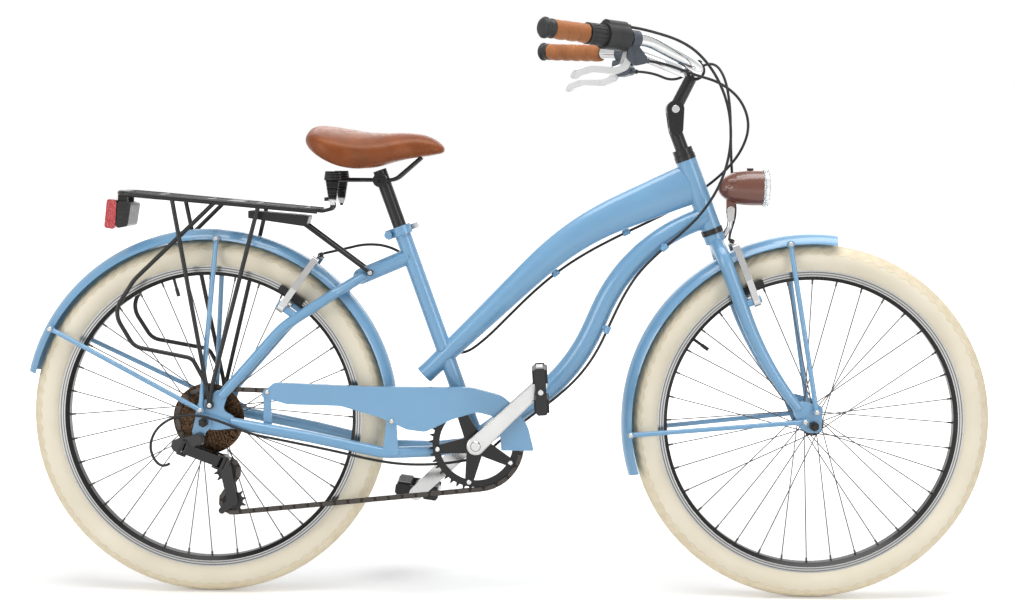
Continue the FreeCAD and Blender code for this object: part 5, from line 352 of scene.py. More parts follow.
def vary_roughness(material, value, low, high):
    """Takes the roughness from a noise, between two limits."""
    tree = material.node_tree
    rough = mapped(tree, value, (NOISE_LOW, NOISE_HIGH), (low, high))
    tree.links.new(rough, shader_of(material).inputs["Roughness"])
    return material


def emboss(material, value, depth, strength, edge=0.0):
    """Bump of a given depth in metres from a pattern, with edges rounded to a radius."""
    tree = material.node_tree
    bump = tree.nodes.new("ShaderNodeBump")
    bump.inputs["Strength"].default_value = strength
    bump.inputs["Distance"].default_value = depth
    tree.links.new(value, bump.inputs["Height"])
    if edge:
        rounded = tree.nodes.new("ShaderNodeBevel")
        rounded.samples = EDGE_SAMPLES
        rounded.inputs["Radius"].default_value = edge
        tree.links.new(rounded.outputs["Normal"], bump.inputs["Normal"])
    tree.links.new(bump.outputs["Normal"], shader_of(material).inputs["Normal"])
    return material


def paint(name, colour, roughness, coat, sheen=0.5):
    """Sprayed paint: faint cloudiness, orange peel, a sheen and a clear coat."""
    material = new_material(name, colour, roughness)
    cloud(material, colour, noise(material, scale=9, detail=2), dark=0.96, light=1.03)
    emboss(material, noise(material, scale=500, detail=2), depth=0.00002, strength=0.2, edge=EDGE_ROUNDING)
    return set_values(material, Coat_Weight=coat, Coat_Roughness=0.05, Specular_IOR_Level=sheen)


def metal(name, colour, low, high):
    """Bare metal with a faint cloudiness in its colour and in its roughness, from low to high."""
    material = new_material(name, colour, low, metallic=1.0)
    cloud(material, colour, noise(material, scale=18, detail=2), dark=0.94, light=1.04)
    vary_roughness(material, noise(material, scale=30, detail=2), low, high)
    return emboss(material, noise(material, scale=240, detail=1), depth=0.000004, strength=0.1,
                  edge=EDGE_ROUNDING)


def mottled_metal(name, colour, dark, low, high):
    """Metal with an uneven burnt finish of two colours."""
    material = metal(name, colour, low, high)
    patches = noise(material, scale=420, detail=3)
    return stain(material, ramp(material, patches, ((0.40, dark), (0.62, colour))))


def brake_track(name, rim):
    """A rim's brake track: bright alloy with painted reflection, bright and dark rings round the axle."""
    colour = (0.44, 0.44, 0.43)
    dark = (0.14, 0.14, 0.14)
    material = metal(name, colour, low=0.20, high=0.28)
    tree = material.node_tree
    # Bright and dark rings by distance from the axle: painted reflection on the track
    place = vector_math(tree, "SUBTRACT", coordinates(material), middle_of(rim))
    upright = vector_math(tree, "MULTIPLY", place, (1, 0, 1))
    radius = vector_math(tree, "LENGTH", upright)
    wave = number_math(tree, "PINGPONG", radius, REFLECTION_RING_PITCH / 2)
    share = number_math(tree, "DIVIDE", wave, REFLECTION_RING_PITCH / 2)
    return stain(material, shades(material, share, dark, colour))


def plastic(name, colour, roughness):
    """Moulded plastic or rubber with a fine texture."""
    material = new_material(name, colour, roughness)
    cloud(material, colour, noise(material, scale=60, detail=4), dark=0.85, light=1.2)
    vary_roughness(material, noise(material, scale=120, detail=3), roughness - 0.06, roughness + 0.08)
    emboss(material, noise(material, scale=1400, detail=3), depth=0.00006, strength=0.3, edge=EDGE_ROUNDING)
    return set_values(material, Specular_IOR_Level=0.3)


def ribbed_rubber():
    """Black rubber boots with rings along their height."""
    material = plastic("ribbed_rubber", (0.014, 0.014, 0.015), 0.34)
    rings = material.node_tree.nodes.new("ShaderNodeTexWave")
    rings.bands_direction = "Z"
    rings.inputs["Scale"].default_value = WAVE_TURN / BOOT_PITCH
    material.node_tree.links.new(coordinates(material), rings.inputs["Vector"])
    return emboss(material, rings.outputs["Fac"], depth=0.0012, strength=0.9)


def leather(name, colour, grain, roughness):
    """Leather with pores, creases and uneven dye."""
    material = new_material(name, colour, roughness)
    dye = noise(material, scale=26, detail=6)
    stain(material, ramp(material, dye, (
        (0.25, scaled(colour, 0.72)), (0.5, colour), (0.8, scaled(colour, 1.25)))))
    vary_roughness(material, noise(material, scale=90, detail=4), roughness - 0.07, roughness + 0.07)
    emboss(material, cells(material, grain, "DISTANCE_TO_EDGE"), depth=0.00025, strength=0.22)
    return set_values(material, Coat_Weight=0.04, Coat_Roughness=0.25, Specular_IOR_Level=0.3,
                      Specular_Tint=(1, 0.72, 0.5, 1))


def tyre_rubber():
    """Pale sidewall and tan tread, with a darker line of painted shade between them along the moulded
    scallops.
    """
    material = new_material("tyre_rubber", (0.78, 0.73, 0.62), 0.62)
    tread = material.node_tree.nodes.new("ShaderNodeAttribute")
    tread.attribute_name = "tread"
    share = tread.outputs["Fac"]
    pale = shades(material, noise(material, scale=10, detail=3), (0.70, 0.635, 0.50), (0.76, 0.70, 0.565))
    tan = shades(material, noise(material, scale=60, detail=4), (0.67, 0.575, 0.405), (0.75, 0.665, 0.50))
    # Darker brown for the line along the scallops: painted shade at the tread's edge
    dark = shades(material, noise(material, scale=60, detail=2), (0.38, 0.27, 0.14), (0.52, 0.40, 0.24))
    areas = blended(material, share, pale, tan)
    stain(material, blended(material, ramp(material, share, SCALLOP_SHADE_LINE), areas, dark))
    vary_roughness(material, noise(material, scale=80, detail=3), 0.55, 0.72)
    return emboss(material, noise(material, scale=900, detail=3), depth=0.0002, strength=0.3)


def lens(name, colour, transmission, prisms):
    """A moulded lens with small prisms inside."""
    low = 0.08
    high = 0.14
    material = new_material(name, colour, low)
    emboss(material, cells(material, prisms, "F1"), depth=0.0012, strength=0.55)
    vary_roughness(material, noise(material, scale=60, detail=2), low, high)
    return set_values(material, Transmission_Weight=transmission, IOR=1.49, Coat_Weight=0.6,
                      Coat_Roughness=0.03)


def middle_of(node):
    """Middle of a CAD node's box."""
    low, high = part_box(node)
    return (low + high) / 2


BLUE = paint("blue_paint", (0.142, 0.318, 0.510), roughness=0.34, coat=0.6)
BLACK = paint("black_paint", (0.009, 0.0085, 0.0085), roughness=0.30, coat=0.1, sheen=0.3)
GLOSS_BLACK = paint("gloss_black", (0.005, 0.005, 0.0055), roughness=0.14, coat=0.1, sheen=0.45)
SILVER_LACQUER = paint("silver_lacquer", (0.70, 0.70, 0.70), roughness=0.24, coat=0.5)
BROWN = paint("brown_paint", (0.130, 0.035, 0.016), roughness=0.30, coat=0.5)
CHROME = metal("chrome", (0.60, 0.605, 0.61), low=0.06, high=0.11)
ALLOY = metal("polished_alloy", (0.50, 0.50, 0.495), low=0.14, high=0.20)
STEEL = metal("bright_steel", (0.46, 0.45, 0.44), low=0.24, high=0.32)
SPOKE_STEEL = metal("spoke_steel", (0.10, 0.092, 0.09), low=0.28, high=0.36)
DARK_STEEL = metal("dark_steel", (0.035, 0.033, 0.032), low=0.26, high=0.34)
CHAIN_STEEL = metal("chain_steel", (0.035, 0.030, 0.026), low=0.26, high=0.34)
# Paler steel for the outer links: a painted highlight along the chain
HIGHLIGHT_LINK_STEEL = metal("painted_highlight_link_steel", (0.072, 0.064, 0.058), low=0.24, high=0.32)
BRASS = metal("bezel_brass", (0.70, 0.62, 0.46), low=0.14, high=0.22)
BRONZE = mottled_metal("bronze_steel", (0.135, 0.078, 0.042), (0.014, 0.011, 0.009), low=0.34, high=0.42)
FRONT_TRACK = brake_track("front_brake_track", "front_rim")
REAR_TRACK = brake_track("rear_brake_track", "rear_rim")
RUBBER = plastic("black_rubber", (0.016, 0.016, 0.017), roughness=0.48)
PLASTIC = plastic("black_plastic", (0.022, 0.022, 0.023), roughness=0.46)
GREY_PLASTIC = plastic("grey_plastic", (0.066, 0.076, 0.094), roughness=0.36)
SMOKE_PLASTIC = plastic("smoke_housing", (0.020, 0.018, 0.018), roughness=0.24)
RIBBED_RUBBER = ribbed_rubber()
TYRE_RUBBER = tyre_rubber()
SADDLE_LEATHER = leather("saddle_leather", (0.190, 0.050, 0.015), grain=620, roughness=0.40)
GRIP_LEATHER = leather("grip_leather", (0.330, 0.125, 0.048), grain=760, roughness=0.46)
RED_LENS = lens("red_lens", (0.52, 0.012, 0.020), transmission=0.25, prisms=300)
CLEAR_LENS = lens("clear_lens", (0.92, 0.94, 0.95), transmission=0.9, prisms=130)
PALE_REFLECTOR = lens("pale_reflector", (0.80, 0.79, 0.74), transmission=0.2, prisms=420)

NODE_MATERIALS = (
    (BLUE, ("head_tube", "top_tube", "down_tube", "seat_tube", "chain_stays", "seat_stays",
            "rear_fender", "front_fender", "fork", "chain_guard", "rear_fender_stays",
            "front_fender_stays")),
    (BLACK, ("bearing_cups", "rack_platform", "rack_legs", "stem_quill", "stem_arm", "seatpost",
             "front_rim", "rear_rim", "chainring", "saddle_rails")),
    (STEEL, ("rear_axle_and_bolts", "front_axle_and_bolts", "headlight_bracket")),
    (SPOKE_STEEL, ("front_spokes", "rear_spokes")),
    (DARK_STEEL, ("front_hub", "rear_hub")),
    (CHAIN_STEEL, ("chain",)),
    (GLOSS_BLACK, ("derailleur_body", "derailleur_link", "derailleur_knuckle", "derailleur_cage")),
    (CHROME, ("handlebar",)),
    (ALLOY, ("crank_set", "rear_brake_arm_left", "rear_brake_arm_right", "front_brake_arm_left",
             "front_brake_arm_right", "seat_clamp_lever")),
    (SILVER_LACQUER, ("brake_lever_right", "brake_lever_left")),
    (BRONZE, ("freewheel",)),
    (TYRE_RUBBER, ("front_tyre", "rear_tyre")),
    (RUBBER, ("bar_cables", "frame_cables")),
    (SADDLE_LEATHER, ("saddle_cover", "grips")),
    (PLASTIC, ("twist_grip", "pedal_right", "pedal_left", "guide_pulley", "tension_pulley",
               "headlight_button")),
    (GREY_PLASTIC, ("lever_brackets",)),
    (RED_LENS, ("tail_light",)),
    (BROWN, ("headlight_shell",)),
    (CLEAR_LENS, ("headlight_lens",)),
)


def dress_nodes():
    """Gives every CAD node its material."""
    for material, names in NODE_MATERIALS:
        for name in names:
            mesh = NODES[name].data
            mesh.materials.clear()
            mesh.materials.append(material)


def face_centres(node):
    """Centres of a node's faces, as rows."""
    mesh = NODES[node].data
    centres = np.zeros(len(mesh.polygons) * 3)
    mesh.polygons.foreach_get("center", centres)
    return centres.reshape(-1, 3)


def axle_distances(node):
    """Distance of each face's centre from the axle of a round node."""
    middle = middle_of(node)
    centres = face_centres(node)
    return np.hypot(centres[:, 0] - middle.x, centres[:, 2] - middle.z)


def paint_faces(node, chosen, material):
    """Gives the chosen faces of a CAD node another material."""
    mesh = NODES[node].data
    mesh.materials.append(material)
    index = np.zeros(len(mesh.polygons), np.int32)
    mesh.polygons.foreach_get("material_index", index)
    index[chosen] = len(mesh.materials) - 1
    mesh.polygons.foreach_set("material_index", index)
    mesh.update()


def solids_of(node):
    """A label for each face of a CAD node, equal on faces that hang together."""
    mesh = NODES[node].data
    places = np.zeros(len(mesh.vertices) * 3)
    mesh.vertices.foreach_get("co", places)
    _, same = np.unique(np.round(places.reshape(-1, 3), 6), axis=0, return_inverse=True)
    corners = np.zeros(len(mesh.loops), np.int64)
    mesh.loops.foreach_get("vertex_index", corners)
    triangles = same.ravel()[corners].reshape(-1, 3)
    label = np.arange(same.max() + 1)
    while True:
        before = label.copy()
        lowest = label[triangles].min(axis=1)
        for corner in range(3):
            np.minimum.at(label, triangles[:, corner], lowest)
        label = label[label]
        if (label == before).all():
            return label[triangles[:, 0]]


def solids_where(node, test):
    """Faces of the solids in a CAD node that pass a test of their lowest and highest face centres."""
    label = solids_of(node)
    centres = face_centres(node)
    chosen = np.zeros(len(label), bool)
    for value in np.unique(label):
        inside = label == value
        if test(Vector(centres[inside].min(axis=0)), Vector(centres[inside].max(axis=0))):
            chosen |= inside
    return chosen


def dress_rims():
    """Machined brake tracks on both rims."""
    for node, material in (("front_rim", FRONT_TRACK), ("rear_rim", REAR_TRACK)):
        beside_channel = np.abs(face_centres(node)[:, 1]) > RIM_CHANNEL
        paint_faces(node, (axle_distances(node) > RIM_TRACK) & beside_channel, material)


def dress_axles():
    """Dark axle nuts beside the bright bolts."""
    for wheel in ("rear", "front"):
        node = wheel + "_axle_and_bolts"
        axle = middle_of(wheel + "_hub")

        def near_axle(first, second):
            centre = (first + second) / 2
            return math.hypot(centre.x - axle.x, centre.z - axle.z) < AXLE_NUT_REACH

        paint_faces(node, solids_where(node, near_axle), DARK_STEEL)


def dress_tail_light():
    """Red outer lens, black band and bracket, and a smoky housing."""
    low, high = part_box("tail_light")
    lens_end = low.x + TAIL_LENS_END
    band_end = low.x + TAIL_BAND_END
    centres = face_centres("tail_light")
    along = centres[:, 0]
    bracket = centres[:, 2] > high.z - TAIL_BRACKET_HEIGHT
    paint_faces("tail_light", (along > lens_end) & (along < band_end), PLASTIC)
    paint_faces("tail_light", along >= band_end, SMOKE_PLASTIC)
    paint_faces("tail_light", bracket & (along > lens_end), BLACK)


def dress_shifter():
    """The shifter's drum is black beside the grey lever brackets."""

    def is_drum(first, second):
        return first.x < SHIFTER_DRUM_FRONT and second.y < 0 and second.z > SHIFTER_DRUM_BOTTOM

    paint_faces("lever_brackets", solids_where("lever_brackets", is_drum), PLASTIC)


def dress_pedals():
    """Pale reflectors, the solids with the fewest faces, on the black pedals."""
    for node in ("pedal_right", "pedal_left"):
        label = solids_of(node)
        for value in np.unique(label):
            inside = label == value
            if inside.sum() < REFLECTOR_MOST_FACES:
                paint_faces(node, inside, PALE_REFLECTOR)


def dress_drive():
    """Outer links painted paler as a painted highlight, bright chainring bolts and a blue derailleur
    hanger.
    """

    def is_outer_link(first, second):
        return second.y - first.y > OUTER_LINK_WIDTH

    def is_bolt(first, second):
        return second.x - first.x < RING_BOLT_WIDTH

    # The outer links get the paler steel, a painted highlight on the dark chain
    paint_faces("chain", solids_where("chain", is_outer_link), HIGHLIGHT_LINK_STEEL)
    paint_faces("chainring", solids_where("chainring", is_bolt), CHROME)
    paint_faces("derailleur_body", face_centres("derailleur_body")[:, 1] > HANGER_FACE, BLUE)


def dress_derailleur():
    """Bright bearings in the derailleur's pulleys."""
    for node in ("guide_pulley", "tension_pulley"):
        paint_faces(node, axle_distances(node) < PULLEY_BEARING, STEEL)


def dress_brake_arms():
    """Black pads on the bright brake arms."""
    for wheel in ("front", "rear"):
        for side in ("left", "right"):
            node = wheel + "_brake_arm_" + side
            paint_faces(node, np.abs(face_centres(node)[:, 1]) < BRAKE_PAD_BACK, RUBBER)


def dress_stem():
    """Bright pivot bolt on the black stem."""
    centres = face_centres("stem_quill")
    _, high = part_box("stem_quill")
    head = centres[:, 2] > high.z - STEM_HEAD_HEIGHT
    paint_faces("stem_quill", head & (np.abs(centres[:, 1]) > STEM_BOLT_FACE), CHROME)


def dress_headlight():
    """Brass bezel round the headlight's mouth."""
    _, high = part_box("headlight_shell")
    along = face_centres("headlight_shell")[:, 0]
    paint_faces("headlight_shell", along > high.x - BEZEL_WIDTH, BRASS)


def dress_freewheel():
    """Dark outer edge round the bronze sprockets."""
    low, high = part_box("freewheel")
    edge = (high.x - low.x) / 2 - SPROCKET_EDGE
    paint_faces("freewheel", axle_distances("freewheel") > edge, DARK_STEEL)


def dress_springs():
    """Ribbed boots over the saddle's springs and bright nuts under them."""
    low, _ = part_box("saddle_rails")
    centres = face_centres("saddle_rails")
    height = centres[:, 2]
    side = np.abs(centres[:, 1])
    nut_top = low.z + SPRING_NUT_TOP
    nut = (height > low.z + SPRING_NUT_BOTTOM) & (height < nut_top) & (side > SPRING_NUT_SIDE)
    boot = (height >= nut_top) & (height < low.z + SPRING_BOOT_TOP) & (side > SPRING_BOOT_SIDE)
    paint_faces("saddle_rails", nut, SILVER_LACQUER)
    paint_faces("saddle_rails", boot, RIBBED_RUBBER)


def link_object(name, data):
    """A new object in the scene."""
    made = bpy.data.objects.new(name, data)
    bpy.context.scene.collection.objects.link(made)
    return made


def add_object(name, vertices, faces, material, smooth=True):
    """A mesh object from vertices and faces."""
    mesh = bpy.data.meshes.new(name)
    mesh.from_pydata([tuple(v) for v in vertices], [], faces)
    mesh.materials.append(material)
    mesh.polygons.foreach_set("use_smooth", [smooth] * len(mesh.polygons))
    mesh.update()
    return link_object(name, mesh)


def ring_faces(rings, around, joined):
    """Quads over a grid of rings, each closed on itself, with the last joined to the first or not."""
    faces = []
    for ring in range(rings if joined else rings - 1):
        this = ring * around
        after = (ring + 1) % rings * around
        for step in range(around):
            ahead = (step + 1) % around
            faces.append((this + step, this + ahead, after + ahead, after + step))
    return faces


def capped_faces(rings, around):
    """Quads over a row of rings, with one face over each end."""
    faces = ring_faces(rings, around, False)
    faces.append(tuple(range(around - 1, -1, -1)))
    last = (rings - 1) * around
    faces.append(tuple(range(last, last + around)))
    return faces


def ring_point(centre, first, second, angle, reach):
    """A point round a centre, at an angle from the first of two directions towards the second."""
    return centre + (first * math.cos(angle) + second * math.sin(angle)) * reach


def turned_points(origin, axes, profile, around, shape=None):
    """Rings round an axis from (distance, radius) points, with an optional change of the radius."""
    along, first, second = axes
    points = []
    for distance, radius in profile:
        for step in range(around):
            angle = math.tau * step / around
            reach = radius + (shape(distance, angle) if shape else 0.0)
            points.append(ring_point(origin + along * distance, first, second, angle, reach))
    return points


def tyre_section(outer, half_width):
    """Section points of a tyre as (angle from the tread's middle, radius, side)."""
    middle = outer - half_width
    points = []
    for step in range(-SECTION_STEPS, SECTION_STEPS + 1):
        angle = BEAD_ANGLE * step / SECTION_STEPS
        points.append((angle, middle + half_width * math.cos(angle), half_width * math.sin(angle)))
    inner_side = RIM_CHANNEL - BEAD_LIP / 2
    points.append((math.pi, RIM_EDGE - BEAD_LIP, RIM_CHANNEL))
    points.append((math.pi, RIM_EDGE - 2 * BEAD_LIP, inner_side))
    points.append((math.pi, RIM_EDGE - 2 * BEAD_LIP, -inner_side))
    points.append((math.pi, RIM_EDGE - BEAD_LIP, -RIM_CHANNEL))
    return points


def groove_depth(turn, angle):
    """Depth of the tread's moulded grooves at a place on the tyre."""
    across = abs(angle) / TREAD_ANGLE
    if across > 1:
        return 0.0
    wave = turn * TREAD_PITCHES + GROOVE_SWAY * math.sin(across * GROOVE_SWAY_TURN)
    cross = max(0.0, math.cos(math.tau * wave) - GROOVE_CUT) / (1 - GROOVE_CUT)
    rib = max(0.0, 1 - abs(across - RIB_PLACE) / RIB_WIDTH)
    fade = min(1.0, (1 - across) / GROOVE_FADE)
    return GROOVE_DEPTH * fade * max(cross * min(1.0, across / GROOVE_START), rib)


def build_tyre(node, body):
    """A balloon tyre with a moulded tread and a scalloped tread edge."""
    low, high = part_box(node)
    centre = middle_of(node)
    section = tyre_section((high.z - low.z) / 2, (high.y - low.y) / 2)
    around = TREAD_PITCHES * TREAD_STEPS
    vertices = []
    tread = []
    for step in range(around):
        turn = step / around
        spin = math.tau * turn
        edge = TREAD_ANGLE - TREAD_SCALLOP * abs(math.sin(math.pi * turn * TREAD_PITCHES))
        for angle, radius, side in section:
            depth = groove_depth(turn, angle)
            reach = radius - depth * math.cos(angle)
            vertices.append((centre.x + reach * math.cos(spin), side - depth * math.sin(angle),
                             centre.z + reach * math.sin(spin)))
            tread.append(min(1.0, max(0.0, (edge - abs(angle)) / TREAD_BLEND)))
    piece = add_object(node + "_moulded", vertices, ring_faces(around, len(section), True), TYRE_RUBBER)
    attribute = piece.data.attributes.new("tread", "FLOAT", "POINT")
    attribute.data.foreach_set("value", tread)
    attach(piece, body)
    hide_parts(node)


def grip_axes(side):
    """Tip of one grip, and its directions: towards the stem and two across."""
    tip = Vector((GRIP_TIP.x, side * GRIP_TIP.y, GRIP_TIP.z))
    inward = -Vector((GRIP_ALONG.x, side * GRIP_ALONG.y, GRIP_ALONG.z)).normalized()
    level = inward.cross(UP).normalized()
    rise = level.cross(inward).normalized()
    return tip, (inward, level, rise)


def grip_piece(name, side, profile, material, around, shape=None):
    """A closed piece turned round a grip's axis."""
    tip, axes = grip_axes(side)
    vertices = turned_points(tip, axes, profile, around, shape)
    piece = add_object(name, vertices, capped_faces(len(profile), around), material)
    mesh = bmesh.new()
    mesh.from_mesh(piece.data)
    bmesh.ops.recalc_face_normals(mesh, faces=mesh.faces)
    mesh.to_mesh(piece.data)
    mesh.free()
    return piece


def wrap_relief(distance, angle):
    """Height of the leather wrap: swollen between its seams, and more so below, under the fingers."""
    along = (distance - GRIP_CAP_LENGTH) / WRAP_PITCH + angle / math.tau
    share = along % 1.0
    bulge = math.sin(math.pi * share)
    seam = max(0.0, 1 - min(share, 1 - share) / SEAM_SHARE)
    below = max(0.0, -math.sin(angle))
    return WRAP_SWELL * math.sqrt(bulge) - SEAM_DEPTH * seam + FINGER_SWELL * below * bulge


def wrap_profile(length):
    """Start, end and (distance, radius) points of a grip's wrap, hollow round the bar."""
    start = GRIP_CAP_LENGTH + GRIP_GAP
    end = GRIP_CAP_LENGTH + length - GRIP_GAP
    bore = BAR_RADIUS + BAR_FIT
    rim = GRIP_RADIUS - 2 * WRAP_DEPTH
    steps = int(length / GRIP_STEP)
    profile = [(start, bore), (start, rim)]
    for step in range(steps + 1):
        distance = GRIP_CAP_LENGTH + GRIP_EDGE + (length - 2 * GRIP_EDGE) * step / steps
        profile.append((distance, GRIP_RADIUS - WRAP_DEPTH))
    profile += [(end, rim), (end, bore)]
    return start, end, profile


def build_grip(side, length, name):
    """One wrapped grip and its end cap."""
    start, end, profile = wrap_profile(length)

    def shape(distance, angle):
        return wrap_relief(distance, angle) if start < distance < end else 0.0

    wrap = grip_piece(name + "_wrap", side, profile, GRIP_LEATHER, GRIP_POINTS_AROUND, shape)
    cap = grip_piece(name + "_cap", side, GRIP_CAP_PROFILE, PLASTIC, GRIP_CAP_POINTS_AROUND)
    for piece in (wrap, cap):
        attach(piece, "bar")
        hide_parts("grips")


def apply_modifiers(piece):
    """Replaces a piece's mesh by its evaluated one."""
    graph = bpy.context.evaluated_depsgraph_get()
    made = bpy.data.meshes.new_from_object(piece.evaluated_get(graph))
    piece.modifiers.clear()
    piece.data = made


def remeshed_copy(node, name, voxel):
    """A copy of a CAD node's form as an even closed mesh."""
    mesh = NODES[node].data.copy()
    mesh.materials.clear()
    piece = link_object(name, mesh)
    remesh = piece.modifiers.new("even", "REMESH")
    remesh.mode = "VOXEL"
    remesh.voxel_size = voxel
    apply_modifiers(piece)
    return piece


def vertex_places(piece):
    """Places of a piece's vertices, as rows."""
    places = np.zeros(len(piece.data.vertices) * 3)
    piece.data.vertices.foreach_get("co", places)
    return places.reshape(-1, 3)


def swell(piece):
    """Blows a closed piece up with cloth pressure, and holds every point within a limit of its start."""
    start = vertex_places(piece)
    cloth = piece.modifiers.new("cloth", "CLOTH")
    cloth.settings.use_pressure = True
    cloth.settings.uniform_pressure_force = SADDLE_PRESSURE
    cloth.settings.effector_weights.gravity = 0
    cloth.settings.tension_stiffness = SADDLE_TENSION
    cloth.settings.bending_stiffness = SADDLE_BENDING
    scene = bpy.context.scene
    for number in range(1, SADDLE_FRAMES + 1):
        scene.frame_set(number)
    apply_modifiers(piece)
    scene.frame_set(1)
    move = vertex_places(piece) - start
    length = np.linalg.norm(move, axis=1, keepdims=True)
    held = start + move * np.minimum(1.0, SADDLE_SWELL / np.maximum(length, TINY))
    piece.data.vertices.foreach_set("co", held.ravel())
    piece.data.update()


def build_saddle():
    """The padded leather saddle."""
    piece = remeshed_copy("saddle_cover", "saddle_leather_cover", SADDLE_VOXEL)
    swell(piece)
    smooth = piece.modifiers.new("smooth", "SMOOTH")
    smooth.factor = SADDLE_SMOOTHING
    smooth.iterations = SADDLE_SMOOTH_ROUNDS
    divide = piece.modifiers.new("divide", "SUBSURF")
    divide.levels = 1
    divide.render_levels = 1
    apply_modifiers(piece)
    piece.data.materials.clear()
    piece.data.materials.append(SADDLE_LEATHER)
    piece.data.polygons.foreach_set("use_smooth", [True] * len(piece.data.polygons))
    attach(piece, "seat")
    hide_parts("saddle_cover")


def spline_points(route):
    """Points along the smooth NURBS curve that has a route as its control points."""
    curve = bpy.data.curves.new("route", "CURVE")
    curve.dimensions = "3D"
    spline = curve.splines.new("NURBS")
    spline.points.add(len(route) - 1)
    for point, place in zip(spline.points, route):
        point.co = (*place, 1)
    spline.order_u = 3
    spline.use_endpoint_u = True
    spline.resolution_u = ROUTE_STEPS
    holder = link_object("route", curve)
    graph = bpy.context.evaluated_depsgraph_get()
    line = bpy.data.meshes.new_from_object(holder.evaluated_get(graph))
    points = [vertex.co.copy() for vertex in line.vertices]
    bpy.data.objects.remove(holder)
    return points


def tube(name, points, radius, material, around):
    """A round tube along points, with closed ends."""
    vertices = []
    across = None
    for index, point in enumerate(points):
        ahead = points[min(index + 1, len(points) - 1)]
        behind = points[max(index - 1, 0)]
        along = (ahead - behind).normalized()
        if across is None:
            across = along.orthogonal().normalized()
        across = (across - along * across.dot(along)).normalized()
        other = along.cross(across)
        for step in range(around):
            vertices.append(ring_point(point, across, other, math.tau * step / around, radius))
    return add_object(name, vertices, capped_faces(len(points), around), material)


def add_housing(name, points, node):
    """A cable housing: a round tube along points, kept in world space."""
    piece = tube(name, points, HOUSING_DIAMETER / 2, RUBBER, HOUSING_POINTS_AROUND)
    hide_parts(node)
    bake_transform(piece)


def nearest(points, place):
    """Index of the point nearest to a place."""
    return min(range(len(points)), key=lambda index: (points[index] - Vector(place)).length)


def add_split_housing(name, route, split):
    """A housing from the bar past the steering to the frame, in two lengths that meet at a point."""
    points = spline_points(route)
    cut = nearest(points, split)
    add_housing(name + "_upper", points[:cut + 1], "bar_cables")
    add_housing(name + "_lower", points[cut:], "frame_cables")


def bellows_profile():
    """(distance, radius) points of a brake wire's bellows, from its middle."""
    profile = []
    for step in range(BELLOWS_STEPS + 1):
        on_rib = step % BELLOWS_STEPS_PER_RIB < BELLOWS_STEPS_PER_RIB / 2
        distance = step / BELLOWS_STEPS * BELLOWS_LENGTH - BELLOWS_LENGTH / 2
        profile.append((distance, BELLOWS_RIB_RADIUS if on_rib else BELLOWS_VALLEY_RADIUS))
    return profile


def add_brake_wire(name, route, node, body):
    """The bare wire from a housing's end to the opposite brake arm, with its rubber bellows."""
    first = Vector(route[-1])
    second = Vector((first.x, -first.y, first.z))
    side = (second - first).normalized()
    wire = tube(name + "_wire", [first, second], WIRE_DIAMETER / 2, STEEL, WIRE_POINTS_AROUND)
    profile = bellows_profile()
    axes = (side, UP, side.cross(UP).normalized())
    vertices = turned_points((first + second) / 2, axes, profile, BELLOWS_POINTS_AROUND)
    faces = capped_faces(len(profile), BELLOWS_POINTS_AROUND)
    bellows = add_object(name + "_bellows", vertices, faces, RUBBER)
    for piece in (wire, bellows):
        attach(piece, body)
        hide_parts(node)


def build_cables():
    """Brake and shift cables."""
    add_split_housing("rear_brake_housing", REAR_BRAKE_ROUTE, REAR_BRAKE_SPLIT)
    add_split_housing("shift_housing", SHIFT_ROUTE, SHIFT_SPLIT)
    add_housing("front_brake_housing", spline_points(FRONT_BRAKE_ROUTE), "bar_cables")
    add_brake_wire("front_brake", FRONT_BRAKE_ROUTE, "bar_cables", "steering")
    add_brake_wire("rear_brake", REAR_BRAKE_ROUTE, "frame_cables", "frame")


def add_area_light(name, place, size, power):
    """A soft rectangular lamp aimed at the bicycle."""
    data = bpy.data.lights.new(name, "AREA")
    data.shape = "RECTANGLE"
    data.size, data.size_y = size
    data.energy = power
    lamp = link_object(name, data)
    lamp.location = place
    lamp.rotation_mode = "QUATERNION"
    lamp.rotation_quaternion = (Vector(LAMP_TARGET) - Vector(place)).to_track_quat("-Z", "Y")


def seen_rays(tree):
    """1 for rays that the camera, a mirror or a lens sees, and 0 for the light on the object."""
    path = tree.nodes.new("ShaderNodeLightPath")
    value = path.outputs["Is Camera Ray"]
    for name in ("Is Glossy Ray", "Is Transmission Ray"):
        value = number_math(tree, "MAXIMUM", value, path.outputs[name])
    return value


def build_lights():
    """Soft lamps above, at each side and behind, and an even surround that is seen as white."""
    for lamp in LAMPS:
        add_area_light(*lamp)
    world = bpy.data.worlds.new("studio")
    bpy.context.scene.world = world
    world.use_nodes = True
    tree = world.node_tree
    background = tree.nodes["Background"]
    background.inputs["Color"].default_value = (1, 1, 1, 1)
    strength = mapped(tree, seen_rays(tree), (0.0, 1.0), (SURROUND_LIGHT, 1.0))
    tree.links.new(strength, background.inputs["Strength"])


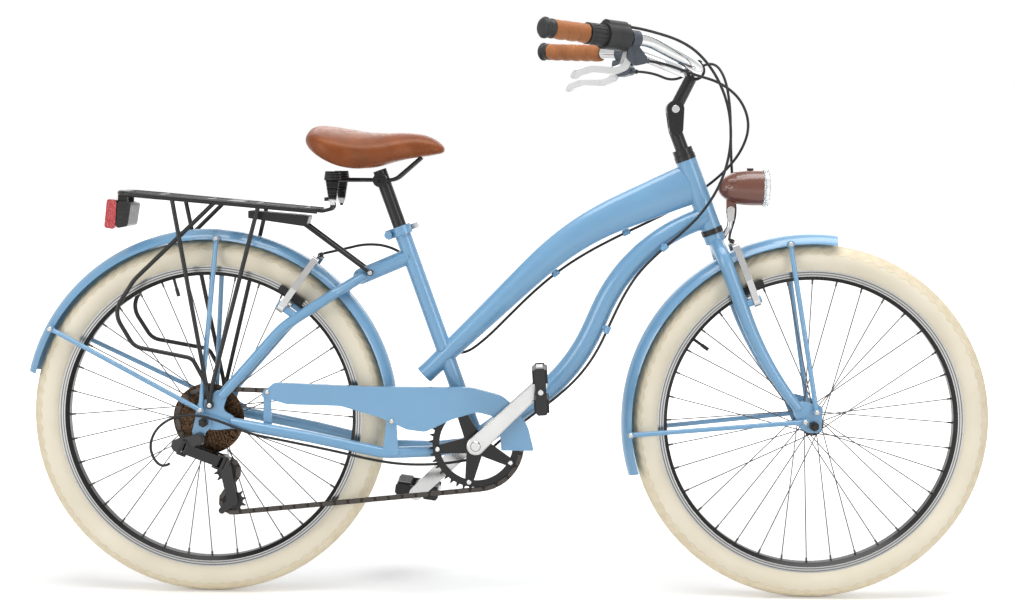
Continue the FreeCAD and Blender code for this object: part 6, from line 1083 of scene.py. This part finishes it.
def build_floor():
    """A pale floor under the wheels, which lightens to the surround's white far from them."""
    material = new_material("pale_floor", (0.90, 0.90, 0.895), 0.9)
    emboss(material, noise(material, scale=30, detail=3), depth=0.0002, strength=0.05)
    set_values(material, Emission_Color=(1, 1, 1, 1), Specular_IOR_Level=0.2)
    tree = material.node_tree
    distance = vector_math(tree, "LENGTH", coordinates(material))
    fade = mapped(tree, distance, (FLOOR_NEAR, FLOOR_FAR), (FLOOR_NEAR_GLOW, 1.0), "SMOOTHSTEP")
    glow = number_math(tree, "MULTIPLY", fade, seen_rays(tree))
    tree.links.new(glow, shader_of(material).inputs["Emission Strength"])
    corners = [(side * FLOOR_HALF, depth * FLOOR_HALF, 0)
               for side, depth in ((-1, -1), (1, -1), (1, 1), (-1, 1))]
    floor = add_object("floor", corners, [(0, 1, 2, 3)], material, False)


def build_camera():
    """The camera at the photograph's place and angle."""
    forward = Vector((math.sin(CAMERA_YAW) * math.cos(CAMERA_PITCH),
                      math.cos(CAMERA_YAW) * math.cos(CAMERA_PITCH),
                      -math.sin(CAMERA_PITCH)))
    level = Vector((math.cos(CAMERA_YAW), -math.sin(CAMERA_YAW), 0))
    rise = level.cross(forward)
    right = level * math.cos(CAMERA_ROLL) + rise * math.sin(CAMERA_ROLL)
    up = rise * math.cos(CAMERA_ROLL) - level * math.sin(CAMERA_ROLL)
    data = bpy.data.cameras.new("camera")
    data.sensor_width = SENSOR_WIDTH
    data.lens = FOCAL_PIXELS / IMAGE_WIDTH * SENSOR_WIDTH
    camera = link_object("camera", data)
    matrix = Matrix((right, up, -forward)).transposed().to_4x4()
    matrix.translation = CAMERA_PLACE
    camera.matrix_world = matrix
    bpy.context.scene.camera = camera


bpy.context.scene.view_settings.view_transform = "Standard"
build_camera()
build_cables()
dress_nodes()
dress_rims()
dress_axles()
dress_tail_light()
dress_shifter()
dress_pedals()
dress_drive()
dress_derailleur()
dress_brake_arms()
dress_stem()
dress_headlight()
dress_freewheel()
dress_springs()
build_tyre("front_tyre", "front_wheel")
build_tyre("rear_tyre", "rear_wheel")
build_grip(1, LEFT_GRIP_LENGTH, "left_grip")
build_grip(-1, RIGHT_GRIP_LENGTH, "right_grip")
build_saddle()
build_lights()
build_floor()
